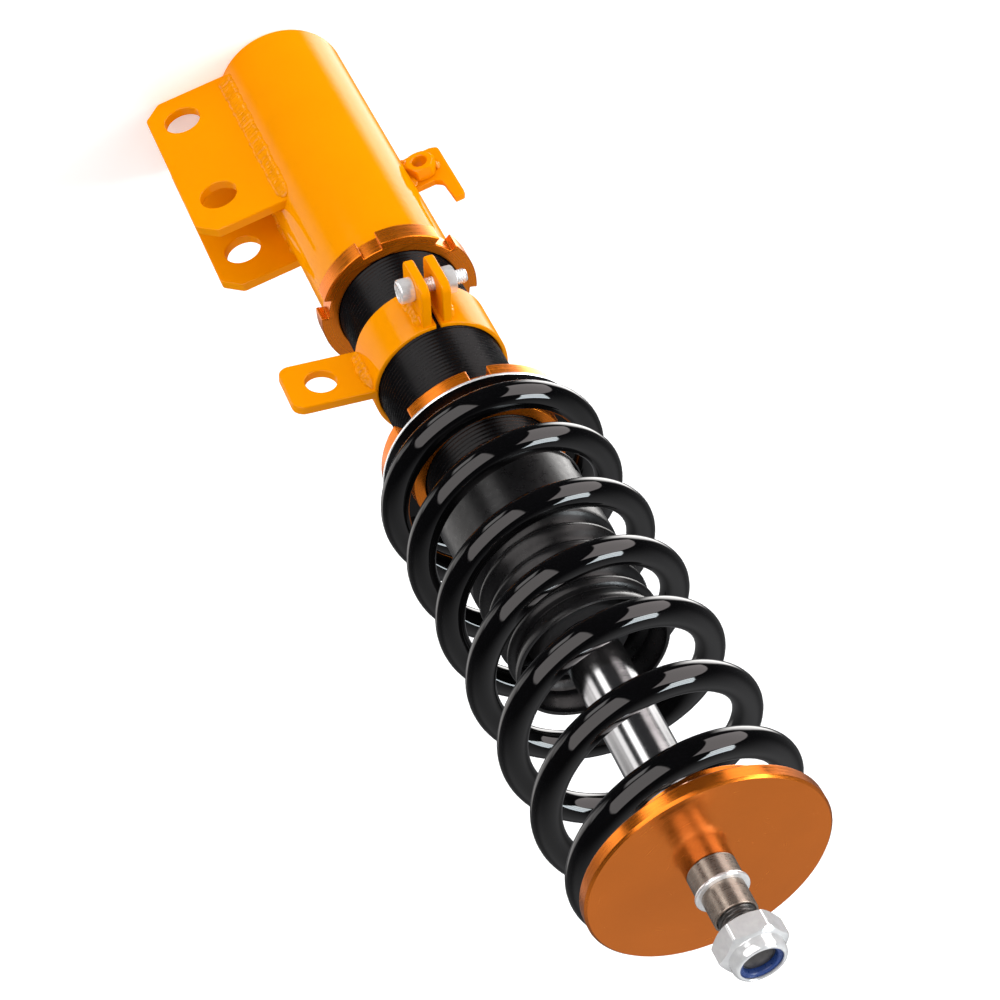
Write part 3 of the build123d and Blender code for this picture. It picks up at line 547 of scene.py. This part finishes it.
# ------------------------------------------------------------------ castellated rings
def castellated(radius, floor, width, count, first, corner=0.5):
    """Ring outline with parallel-sided spanner notches."""
    half_top = math.asin(width / 2 / radius)
    half_floor = math.asin(width / 2 / floor)
    points = []
    for k in range(count):
        middle = math.radians(first) + TAU * k / count
        next_middle = middle + TAU / count
        for angle, r in ((middle - half_top, radius), (middle - half_floor, floor)):
            points.append((r * math.cos(angle), r * math.sin(angle), corner))
        for j in (0.25, 0.5, 0.75):
            angle = middle + half_floor * (2 * j - 1)
            points.append((floor * math.cos(angle), floor * math.sin(angle), 0))
        for angle, r in ((middle + half_floor, floor), (middle + half_top, radius)):
            points.append((r * math.cos(angle), r * math.sin(angle), corner))
        arc = 24
        for j in range(1, arc):
            angle = middle + half_top + (next_middle - middle - 2 * half_top) * j / arc
            points.append((radius * math.cos(angle), radius * math.sin(angle), 0))
    return soften(points, corner, 3)


THREAD_CLEAR = 26.8
LOCK_RING_LOW, LOCK_RING_HIGH = 160.05, 168.55
COLLAR_LOW, COLLAR_HIGH = 260.3, 268.0
PILOT_RADIUS, PILOT_TOP = 31.5, 275.5
lock_ring = Shape()
lock_ring.slab(castellated(34.3, 31.1, 8.8, 6, -24.0), [hole(0, 0, THREAD_CLEAR, 128)],
               LOCK_RING_LOW, LOCK_RING_HIGH, 0.5)
lock_ring.finish("lock_ring_skin", ORANGE, "lock_ring", ["bracket_lock_ring"])

collar = Shape()
collar.slab(castellated(39.9, 35.2, 8.2, 7, -103.7), [hole(0, 0, THREAD_CLEAR, 128)],
            COLLAR_LOW, COLLAR_HIGH, 0.6)
collar.polar(soften([
    (THREAD_CLEAR, 267.0), (PILOT_RADIUS, 267.0, 0.1), (PILOT_RADIUS, PILOT_TOP, 0.8),
    (THREAD_CLEAR, PILOT_TOP, 0.5)], 0.4), 128)
collar.finish("lower_perch_skin", ORANGE, "lower_perch", ["perch_collar"])


# ------------------------------------------------------------------ threaded body
BODY_BORE, BODY_FLOOR = 23.0, 91.0
BODY_LOW, BODY_HIGH = 85.0, 322.0
BODY_SEGMENTS = 112
body_shape = Shape()
body_rings = [(BODY_BORE, BODY_HIGH), (BODY_BORE, BODY_FLOOR), (AXIS, BODY_FLOOR), (AXIS, BODY_LOW),
              (24.8, BODY_LOW), (25.7, BODY_LOW + 1.0)]
body_rings += thread_rings(25.65, 0.85, 2.0, 100.0, 314.0, 7)
body_rings += [(25.7, BODY_HIGH - 1.0), (24.9, BODY_HIGH)]
body_shape.polar(body_rings, BODY_SEGMENTS)
body_shape.finish("threaded_body_skin", BLACK_THREAD, "damper_body",
                  ["threaded_body"], sharp=70, weighted=False)


# ------------------------------------------------------------------ clamp
SPLIT = -103.0
CLAMP_MID = 207.0
BAND_OUT, BAND_IN, BAND_HALF = 28.7, 26.8, 12.5
BAND_STEPS = 144
SLIT_HALF = 1.0
EAR_IN, EAR_OUT = 2.3, 6.3
LINK_HALF = 2.0
PLATE_FOOT = 27.6
BOLT_REACH = 39.5
band = Shape()
slit = math.asin(SLIT_HALF / BAND_OUT)
band_angles = [math.radians(SPLIT) + slit + (TAU - 2 * slit) * k / BAND_STEPS
               for k in range(BAND_STEPS + 1)]
arc_out = [(BAND_OUT * math.cos(a), BAND_OUT * math.sin(a)) for a in band_angles]
arc_in = [(p[0] * BAND_IN / BAND_OUT, p[1] * BAND_IN / BAND_OUT) for p in reversed(arc_out)]
band.slab(arc_out + arc_in, [], CLAMP_MID - BAND_HALF, CLAMP_MID + BAND_HALF, 0.55)
band.finish("clamp_band_skin", PAINT, "clamp", ["clamp_band"], sharp=40)

out_dir = around(SPLIT)
side_dir = Vector((-out_dir.y, out_dir.x, 0))
EAR_OUTLINE = [
    (PLATE_FOOT, -11.5, 0), (46.5, -11.5, 4.0), (46.5, 11.5, 4.0), (PLATE_FOOT, 11.5, 0)]
ears = Shape()
for side in (-1, 1):
    low, high = sorted((side * EAR_IN, side * EAR_OUT))
    ears.slab(soften(EAR_OUTLINE, 3.0, 7), [hole(BOLT_REACH, 0.0, 3.3, 40)], low, high, 0.75,
              flat_place((0, 0, CLAMP_MID), out_dir, (0, 0, 1), out_dir.cross(Vector((0, 0, 1)))))
ears.finish("clamp_ears_skin", PAINT, "clamp", ["clamp_ears"])

tab_dir = around(-16.0)
tab_side = Vector((-tab_dir.y, tab_dir.x, 0))
LINK_OUTLINE = [
    (PLATE_FOOT, -13.2, 0), (62.0, -13.2, 5.0), (62.0, 13.2, 5.0), (PLATE_FOOT, 13.2, 0)]
link = Shape()
link.slab(soften(LINK_OUTLINE, 5.0, 8), [hole(47.0, 0.0, 6.5, 56)], -LINK_HALF, LINK_HALF, 0.7,
          flat_place((0, 0, CLAMP_MID), tab_dir, (0, 0, 1), tab_dir.cross(Vector((0, 0, 1)))))
link.finish("link_tab_skin", PAINT, "clamp", ["link_tab"])

clamp_welds = Shape()


def side_weld(direction, sideways, face, side, low, high, leg, seed, rag):
    """Weld in the corner between an upright plate on the band and the band itself."""
    reach = math.sqrt(BAND_OUT ** 2 - face ** 2)
    corner = direction * reach + sideways * face
    tangent = (sideways * reach - direction * face).normalized() * side
    weld(clamp_welds, corner + Vector((0, 0, low)), corner + Vector((0, 0, high)), direction, tangent,
         leg, 2.5, seed, rag)


for side in (-1, 1):
    side_weld(out_dir, side_dir, side * EAR_OUT, side, 197.5, 216.5, 3.2, 11.0 + side * 3, 0.25)
    side_weld(tab_dir, tab_side, side * LINK_HALF, side, 195.5, 218.5, 3.6, 21.0 + side * 3, 0.25)
clamp_welds.finish("clamp_welds", WELD_PAINT, "clamp", ["clamp_weld_beads"], sharp=55,
                   weighted=False)

BOLT_SEAT = 6.35
BOLT_HEAD_HEIGHT = 6.0
CLAMP_NUT_HEIGHT = 5.0
BOLT_SPARE = 5.0
BOLT_SEGMENTS = 88
KNURL_TEETH = 22
bolt_place = flat_place(out_dir * BOLT_REACH + Vector((0, 0, CLAMP_MID)), out_dir, (0, 0, 1), -side_dir)


def knurled(angle):
    """Radius of the screw's knurled head."""
    return 5.0 + 0.11 * abs(math.sin(angle * KNURL_TEETH)) - 0.08


bolt = Shape()
head_low, head_high = -BOLT_SEAT - BOLT_HEAD_HEIGHT, -BOLT_SEAT
socket = hex_radius(5.0, 0.99)
bolt_rings = [
    (AXIS, head_low + 3.5), (socket, head_low + 3.5), (socket, head_low + 0.35), (3.15, head_low),
    (4.15, head_low), (4.55, head_low + 0.12), (4.85, head_low + 0.5), (knurled, head_low + 0.9),
    (knurled, head_low + 3.0), (knurled, head_high - 0.5), (4.75, head_high), (3.0, head_high)]
tail = BOLT_SEAT + CLAMP_NUT_HEIGHT + BOLT_SPARE
bolt_rings += [(2.98, head_high + 0.3)]
bolt_rings += thread_rings(2.55, 0.43, 1.0, head_high + 0.6, tail - 0.5, 8, 0.4)
bolt_rings += [(2.3, tail), (AXIS, tail)]
bolt.polar(bolt_rings, BOLT_SEGMENTS, False, bolt_place)
bolt.finish("clamp_bolt_skin", ZINC, "clamp_screw", ["clamp_bolt"], sharp=38)

clamp_nut = Shape()
clamp_nut.polar(hex_rings(10.0, BOLT_SEAT, BOLT_SEAT + CLAMP_NUT_HEIGHT, 3.05, turn=11.0), 96, True,
                bolt_place)
clamp_nut.finish("clamp_nut_skin", ZINC, "clamp_screw_nut", ["clamp_nut"], sharp=38)


# ------------------------------------------------------------------ spring
SEAT_LOW, SEAT_HIGH = 269.25, 475.0
WIRE = 5.5
MEAN = 41.0
BOW = 1.5
TURNS = 7.293
TIP_ANGLE = 20.0
OPEN_PITCH, CLOSED_PITCH = 31.3, 11.6
LOW_TIP, HIGH_TIP = 272.93, 473.0
LOW_RAMP = (0.783, 1.083)
HIGH_RAMP = (0.45, 0.60)
PER_TURN, AROUND = 110, 30
LEAN_TURNS = 1.2
MERGE_TURNS = 1.5
FIXED_LOW, FIXED_HIGH = 283.0, 466.0
SEAT_SINK = 0.02
TIP_SHRINK, TIP_INSET = 0.86, 0.8


def rise(turns, ramp):
    """Height gained over the given turns from a closed end whose pitch opens across the ramp."""
    start, end = ramp
    extra = OPEN_PITCH - CLOSED_PITCH
    if turns <= start:
        return CLOSED_PITCH * turns
    part = min(turns, end) - start
    opened = extra * part ** 2 / (end - start) / 2
    return CLOSED_PITCH * turns + opened + extra * max(0.0, turns - end)


def smooth(x):
    """Smooth step from 0 to 1."""
    x = min(1.0, max(0.0, x))
    return x * x * (3 - 2 * x)


def off_seats(row):
    """Grinds a row of the wire flat at both seats."""
    for p in row:
        p.z = min(SEAT_HIGH, max(SEAT_LOW + SEAT_SINK, p.z))


spring = Shape()
count = int(TURNS * PER_TURN)
centres = []
for i in range(count + 1):
    t = TURNS * i / count
    low_z = LOW_TIP + rise(t, LOW_RAMP)
    high_z = HIGH_TIP - rise(TURNS - t, HIGH_RAMP)
    blend_share = smooth((t - MERGE_TURNS) / (TURNS - 2 * MERGE_TURNS))
    z = low_z + (high_z - low_z) * blend_share
    angle = math.radians(TIP_ANGLE) + TAU * t
    lean = BOW * smooth(t / LEAN_TURNS) * smooth((TURNS - t) / LEAN_TURNS)
    centres.append(Vector((lean + MEAN * math.cos(angle), MEAN * math.sin(angle), z)))
shares = [min(1.0, max(0.0, (centre.z - FIXED_LOW) / (FIXED_HIGH - FIXED_LOW))) for centre in centres]
rows = []
for i, centre in enumerate(centres):
    before, after = centres[max(0, i - 1)], centres[min(count, i + 1)]
    tangent = (after - before).normalized()
    outward = Vector((centre.x, centre.y, 0)).normalized()
    upward = tangent.cross(outward).normalized()
    outward = upward.cross(tangent).normalized()
    row = []
    for k in range(AROUND):
        a = TAU * k / AROUND
        row.append(centre + (outward * math.cos(a) + upward * math.sin(a)) * WIRE)
    off_seats(row)
    rows.append(row)
low_tip = (centres[1] - centres[0]).normalized() * TIP_INSET
high_tip = (centres[-1] - centres[-2]).normalized() * TIP_INSET
rows.insert(0, [centres[0].lerp(p, TIP_SHRINK) - low_tip for p in rows[0]])
rows.append([centres[-1].lerp(p, TIP_SHRINK) + high_tip for p in rows[-1]])
off_seats(rows[0])
off_seats(rows[-1])
base = spring.grid(rows)
spring.faces.append(tuple(base + k for k in reversed(range(AROUND))))
spring.faces.append(tuple(base + (len(rows) - 1) * AROUND + k for k in range(AROUND)))
spring_piece = spring.finish("coil_spring_skin", POWDER, None, ["coil_spring"],
                             sharp=40, weighted=False)
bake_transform(spring_piece)
# Each vertex takes the share of the wire centre point nearest to it, so each section of the wire has one
# weight.
centre_array = np.array([c[:] for c in centres])
weights = np.zeros(len(spring_piece.data.vertices), np.float32)
for index, vertex in enumerate(spring_piece.data.vertices):
    point = np.array(vertex.co) / MM
    nearest = int(np.argmin(((centre_array - point) ** 2).sum(axis=1)))
    weights[index] = shares[nearest]
spring_piece.visible_glossy = False

washer = turned_piece(
    "thrust_washer_skin", [(31.55, 268.05), (41.9, 268.05), (41.9, 269.25), (31.55, 269.25)], ZINC,
    "spring_seat", ["thrust_washer"], edge=0.3)
# Painted reflection: the washer's upward faces take the black thread material, standing in for the dark
# reflection of the black coil above them.
washer.data.materials.append(BLACK_THREAD)
for face in washer.data.polygons:
    if face.normal.z > 0.97:
        face.material_index = 1


# ------------------------------------------------------------------ dust boot and bump stop
def boot_radius(z):
    """Outside of the boot: cup, bellows and bell mouth."""
    if z <= 332.0:
        return 28.9 + 0.5 * smooth((299.5 - z) / 2.5) + 0.25 * smooth((z - 326.0) / 3.0)
    if z <= 371.5:
        fold = (z - 334.0) / 9.5
        wave = 0.5 - 0.5 * math.cos(TAU * (fold - 0.25))
        return 26.1 + 3.4 * wave ** 0.75 if z >= 334.0 else 29.15 - 0.2 * smooth((z - 332.0) / 2.0)
    return 26.8 + 2.9 * smooth((z - 371.5) / 7.5)


boot = Shape()
BOOT_SEGMENTS = 180
WINDOW_ANGLE = 14.0
WINDOW_HALF_ANGLE = 8.2
WINDOW_LOW, WINDOW_HIGH = 299.0, 304.0
WINDOW_SPACING = 90.0
BOOT_LOW, BOOT_HIGH, BOOT_ROW = 297.0, 380.0, 0.5
boot_heights = [BOOT_LOW + BOOT_ROW * k for k in range(int((BOOT_HIGH - BOOT_LOW) / BOOT_ROW) + 1)]
boot_rows = []
for z in boot_heights:
    r = boot_radius(z)
    boot_rows.append([(r * math.cos(TAU * k / BOOT_SEGMENTS), r * math.sin(TAU * k / BOOT_SEGMENTS), z)
                      for k in range(BOOT_SEGMENTS)])


def boot_face(i, j):
    """False inside one of the cup's windows."""
    z = boot_heights[i] + BOOT_ROW / 2
    angle = 360.0 * (j + 0.5) / BOOT_SEGMENTS
    off = (angle - WINDOW_ANGLE + WINDOW_SPACING / 2) % WINDOW_SPACING - WINDOW_SPACING / 2
    return not (WINDOW_LOW < z < WINDOW_HIGH and abs(off) < WINDOW_HALF_ANGLE)


boot.grid(boot_rows, keep=boot_face)
boot_piece = boot.finish("dust_boot_skin", RUBBER, "damper_body", ["dust_boot"],
                         sharp=60, weighted=False)
wall = boot_piece.modifiers.new("wall", "SOLIDIFY")
wall.thickness = 1.3 * MM
wall.offset = -1.0
rim = boot_piece.modifiers.new("rim", "BEVEL")
rim.width = 0.35 * MM
rim.segments = 2
rim.limit_method = "ANGLE"
rim.angle_limit = math.radians(50)

STOP_RADIUS, STOP_BORE = 21.0, 11.5
STOP_LOW, STOP_HIGH = 322.0, 372.0
STOP_WAISTS, STOP_WAIST_SPACING = 3, 12.5
stop_profile = [(STOP_BORE, STOP_LOW), (20.0, STOP_LOW, 1.5)]
for step in range(1, STOP_WAISTS + 1):
    waist = STOP_LOW + step * STOP_WAIST_SPACING
    stop_profile += [
        (STOP_RADIUS, waist - 4.0, 2.0), (17.6, waist, 1.2), (STOP_RADIUS, waist + 4.0, 2.0)]
stop_profile += [(17.5, STOP_HIGH, 2.0), (STOP_BORE, STOP_HIGH, 1.0)]
turned_piece("bump_stop_skin", stop_profile, FOAM, "damper_body", ["bump_stop"], edge=1.0,
             segments=96, steps=5)


# ------------------------------------------------------------------ upper perch, rod and stud stack
STUD_BORE = 7.05
PERCH_RADIUS, PERCH_TOP = 45.0, 480.6
disc = turned_piece("upper_perch_skin", [
    (STUD_BORE, SEAT_HIGH, 0.1), (33.5, SEAT_HIGH, 0.1), (33.5, 466.0), (35.0, 466.0),
    (35.0, SEAT_HIGH, 0.1), (44.4, SEAT_HIGH, 0.2), (PERCH_RADIUS, 475.6, 0.2),
    (PERCH_RADIUS, 479.7, 0.12), (44.1, PERCH_TOP, 0.12), (STUD_BORE, PERCH_TOP, 0.1)],
    DISC_ORANGE, "top_perch", ["upper_perch"], segments=192)
disc.visible_glossy = False

turned_piece("rod_shaft", [
    (AXIS, 266.0, 0), (5.98, 266.0), (5.98, 286.0, 0.1), (11.0, 286.0), (11.0, 474.95),
    (AXIS, 474.95, 0)],
    CHROME, "rod", ["piston_rod"], edge=0.5, segments=128)
stud = Shape()
stud_rings = [(AXIS, 474.9), (6.95, 474.9), (6.95, 499.0)]
stud_rings += thread_rings(6.05, 0.85, 1.5, 499.5, 515.2, 8, 0.6)
stud_rings += [(5.95, 515.6), (5.9, 516.9), (5.3, 517.6), (AXIS, 517.7)]
stud.polar(stud_rings, 96, False)
stud.finish("rod_stud", DARK_STEEL, "rod", sharp=45)

SPACER_LOW, WASHER_LOW, SLEEVE_LOW, SLEEVE_HIGH = 480.65, 489.05, 490.65, 501.05
turned_piece("stud_spacer_skin", [
    (STUD_BORE, SPACER_LOW), (8.9, SPACER_LOW), (8.9, WASHER_LOW), (STUD_BORE, WASHER_LOW)], STEEL,
    "rod", ["stud_spacer"], edge=0.35)
turned_piece("stud_washer_skin", [
    (STUD_BORE, WASHER_LOW), (9.9, WASHER_LOW, 0.6), (9.9, SLEEVE_LOW, 0.6), (STUD_BORE, SLEEVE_LOW)],
    ZINC, "rod", ["stud_washer"], edge=0.2)
turned_piece("stud_sleeve_skin", [
    (7.0, SLEEVE_LOW, 0.1), (7.9, SLEEVE_LOW, 0.1), (7.9, SLEEVE_HIGH, 0.45), (7.0, SLEEVE_HIGH, 0.2)],
    STEEL, "rod", ["stud_sleeve"], edge=0.3)

NUT_FLATS = 22.0
NUT_TURN = -4.0
NUT_FACE = 10.55
nut = Shape()
nut_side = hex_radius(NUT_FLATS, 0.978, NUT_TURN)


def nut_drop(angle):
    """How far a corner of the nut is turned down."""
    return max(0.0, nut_side(angle) - NUT_FACE) * math.tan(math.radians(30))


nut_rings = [
    (STUD_BORE, 507.9), (7.9, 507.0), (10.4, 507.0), (NUT_FACE, 507.05),
    (nut_side, lambda a: 507.1 + nut_drop(a)),
    (nut_side, 509.0), (nut_side, 511.2), (nut_side, 513.4), (nut_side, lambda a: 515.5 - nut_drop(a)),
    (NUT_FACE, 515.6), (9.9, 515.85), (9.8, 516.3), (9.8, 517.6), (9.72, 518.6), (9.45, 519.45),
    (8.95, 520.15), (8.4, 520.45), (7.95, 520.5), (7.75, 520.35), (7.7, 520.0), (8.25, 519.6),
    (8.25, 516.95), (STUD_BORE, 516.9)]
nut.polar(nut_rings, 144)
nut.finish("top_nut_skin", ZINC, "stud_nut", ["top_nut"], sharp=38)
turned_piece("nylon_ring", [
    (6.1, 517.0), (8.2, 517.0), (8.2, 519.7, 0.5), (6.1, 519.3, 0.8)], NYLON, "stud_nut",
    ["nylon_insert"], edge=0.3, segments=96)

for node_name, node_material in {
    "gland_nut": BLACK_THREAD, "rod_guide": STEEL, "rod_seal": RUBBER, "floating_piston": STEEL,
    "floating_piston_seal": RUBBER, "piston": STEEL, "piston_band": PTFE, "valve_shims": STEEL,
    "piston_nut": STEEL,
}.items():
    node_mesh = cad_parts[node_name].data
    node_mesh.materials.clear()
    node_mesh.materials.append(node_material)


# ------------------------------------------------------------------ floor
floor_mesh = bpy.data.meshes.new("floor")
FLOOR_HALF = 12.0
floor_mesh.from_pydata(
    [(-FLOOR_HALF, -FLOOR_HALF, 0), (FLOOR_HALF, -FLOOR_HALF, 0), (FLOOR_HALF, FLOOR_HALF, 0),
     (-FLOOR_HALF, FLOOR_HALF, 0)], [], [(0, 1, 2, 3)])
floor = bpy.data.objects.new("floor", floor_mesh)
bpy.context.scene.collection.objects.link(floor)
floor_material = bpy.data.materials.new("pale_floor")
floor_material.use_nodes = True
f = Nodes(floor_material.node_tree)
floor_out = f.add("ShaderNodeOutputMaterial")
floor_place = f.add("ShaderNodeTexCoord").outputs["Object"]
floor_tone = f.mix(f.noise(floor_place, 3.0, 2.0), (0.90, 0.895, 0.89, 1), (0.93, 0.925, 0.92, 1))
floor_shader = f.add("ShaderNodeBsdfPrincipled", Base_Color=floor_tone, Roughness=0.8)
floor_shader.inputs["Emission Color"].default_value = (1.0, 0.995, 0.99, 1)
floor_shader.inputs["Emission Strength"].default_value = 0.25
f.tree.links.new(floor_shader.outputs[0], floor_out.inputs[0])
floor_mesh.materials.append(floor_material)
floor.visible_glossy = False
floor.visible_shadow = False
floor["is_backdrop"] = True


# ------------------------------------------------------------------ studio light
world = bpy.data.worlds.new("studio")
bpy.context.scene.world = world
world.use_nodes = True
w = Nodes(world.node_tree)
world_out = w.add("ShaderNodeOutputWorld")
toward = w.vector("NORMALIZE", w.add("ShaderNodeTexCoord").outputs["Generated"])


def sky_direction(azimuth, elevation):
    a, e = math.radians(azimuth), math.radians(elevation)
    return Vector((math.sin(a) * math.cos(e), -math.cos(a) * math.cos(e), math.sin(e)))


def softbox(azimuth, elevation, half_width, half_height, edge, tilt, shift):
    """Mask of a rectangular light in the given direction, sizes in degrees, moved along its width."""
    normal = sky_direction(azimuth, elevation)
    level = Vector((0, 0, 1)).cross(normal).normalized()
    upright = normal.cross(level)
    lean = math.radians(tilt)
    wide = level * math.cos(lean) + upright * math.sin(lean)
    tall = upright * math.cos(lean) - level * math.sin(lean)
    ahead = w.vector("DOT_PRODUCT", toward, tuple(normal))
    mask = w.math("GREATER_THAN", ahead, 0.05)
    for axis, half_size, middle in ((wide, half_width, shift), (tall, half_height, 0.0)):
        along = w.vector("DOT_PRODUCT", toward, tuple(axis))
        offset = w.math("SUBTRACT", w.math("DIVIDE", along, w.math("MAXIMUM", ahead, 0.05)), middle)
        reach = math.tan(math.radians(half_size))
        soft_edge = max(0.004, reach * edge)
        distance = w.math("ABSOLUTE", offset)
        inside = w.remap(distance, reach - soft_edge, reach + soft_edge, 1.0, 0.0, True)
        mask = w.math("MULTIPLY", mask, inside)
    return mask


sky = w.add("ShaderNodeSeparateXYZ", i0=toward).outputs
behind = w.remap(sky[1], -0.15, 0.75, 0.0, 1.0, True)
lifted = w.remap(sky[2], -0.05, 0.45, 0.25, 1.0, True)
glow = w.mix(w.math("MULTIPLY", behind, lifted), (0.03, 0.03, 0.032, 1), (0.44, 0.44, 0.45, 1))
SOFTBOXES = [
    # azimuth, elevation, half width, half height, edge, tilt, shift, strength, colour
    (20.0, 22.0, 27.0, 38.0, 0.05, 6.0, 0.0, 2.3, (1.0, 0.94, 0.93)),
    (-62.0, 4.0, 19.0, 38.0, 0.05, 0.0, 0.0, 3.0, (1.0, 0.92, 0.91)),
    (-92.0, 50.0, 4.1, 8.2, 0.08, -35.0, -0.16, 15.0, (0.86, 0.95, 1.0)),
    (-92.0, 50.0, 4.1, 8.2, 0.08, -35.0, 0.0, 15.0, (0.88, 0.96, 1.0)),
    (-92.0, 50.0, 4.1, 8.2, 0.08, -35.0, 0.16, 15.0, (0.90, 0.97, 1.0)),
    (22.0, -36.0, 9.0, 11.0, 0.25, 0.0, 0.0, 2.4, (1.0, 0.98, 0.97)),
    (-112.0, -50.0, 16.0, 12.0, 0.5, 0.0, 0.0, 6.0, (1.0, 0.98, 0.96)),
    (108.0, -48.0, 24.0, 12.0, 0.4, 0.0, 0.0, 1.2, (1.0, 0.97, 0.95)),
    (66.0, -36.0, 8.0, 8.0, 0.3, 0.0, 0.0, 1.4, (1.0, 0.98, 0.97)),
]
light = glow
for azimuth, elevation, half_w, half_h, edge, tilt, shift, strength, color in SOFTBOXES:
    mask = softbox(azimuth, elevation, half_w, half_h, edge, tilt, shift)
    added = w.add("ShaderNodeMix", {"data_type": "RGBA", "blend_type": "ADD", "clamp_factor": False})
    box_color = w.vector("SCALE", tuple(c * strength for c in color))
    box_color.node.inputs["Scale"].default_value = 1.0
    w.tree.links.new(mask, box_color.node.inputs["Scale"])
    w.tree.links.new(light, added.inputs[6])
    w.tree.links.new(box_color, added.inputs[7])
    added.inputs[0].default_value = 1.0
    light = added.outputs[2]
seen = w.add("ShaderNodeBackground", Color=(0.91, 0.91, 0.915, 1), Strength=1.0)
mirrored = w.add("ShaderNodeBackground", Color=light, Strength=1.0)
soft_color = w.mix(w.remap(sky[2], -1.0, 1.0, 0.0, 1.0), (0.26, 0.26, 0.27, 1), (0.56, 0.56, 0.56, 1))
soft = w.add("ShaderNodeBackground", Color=soft_color, Strength=1.0)
path = w.add("ShaderNodeLightPath").outputs
unseen = w.add(
    "ShaderNodeMixShader", i0=path["Is Diffuse Ray"], i1=mirrored.outputs[0], i2=soft.outputs[0])
world_mix = w.add(
    "ShaderNodeMixShader", i0=path["Is Camera Ray"], i1=unseen.outputs[0], i2=seen.outputs[0])
w.tree.links.new(world_mix.outputs[0], world_out.inputs[0])


LAMP_AIM = Vector((0, 0, 0.25))


def lamp(name, azimuth, elevation, distance, size, power):
    """Large soft lamp aimed at the middle of the strut."""
    data = bpy.data.lights.new(name, "AREA")
    data.shape = "RECTANGLE"
    data.size, data.size_y = size
    data.energy = power
    made = bpy.data.objects.new(name, data)
    bpy.context.scene.collection.objects.link(made)
    direction = sky_direction(azimuth, elevation)
    made.location = LAMP_AIM + direction * distance
    made.rotation_mode = "QUATERNION"
    made.rotation_quaternion = direction.to_track_quat("Z", "Y")
    made.visible_camera = False
    made.visible_glossy = False


lamp("overhead", 160.0, 68.0, 2.4, (2.6, 2.6), 12.0)
lamp("front_fill", 25.0, 35.0, 2.2, (1.2, 1.2), 10.0)

low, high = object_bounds()
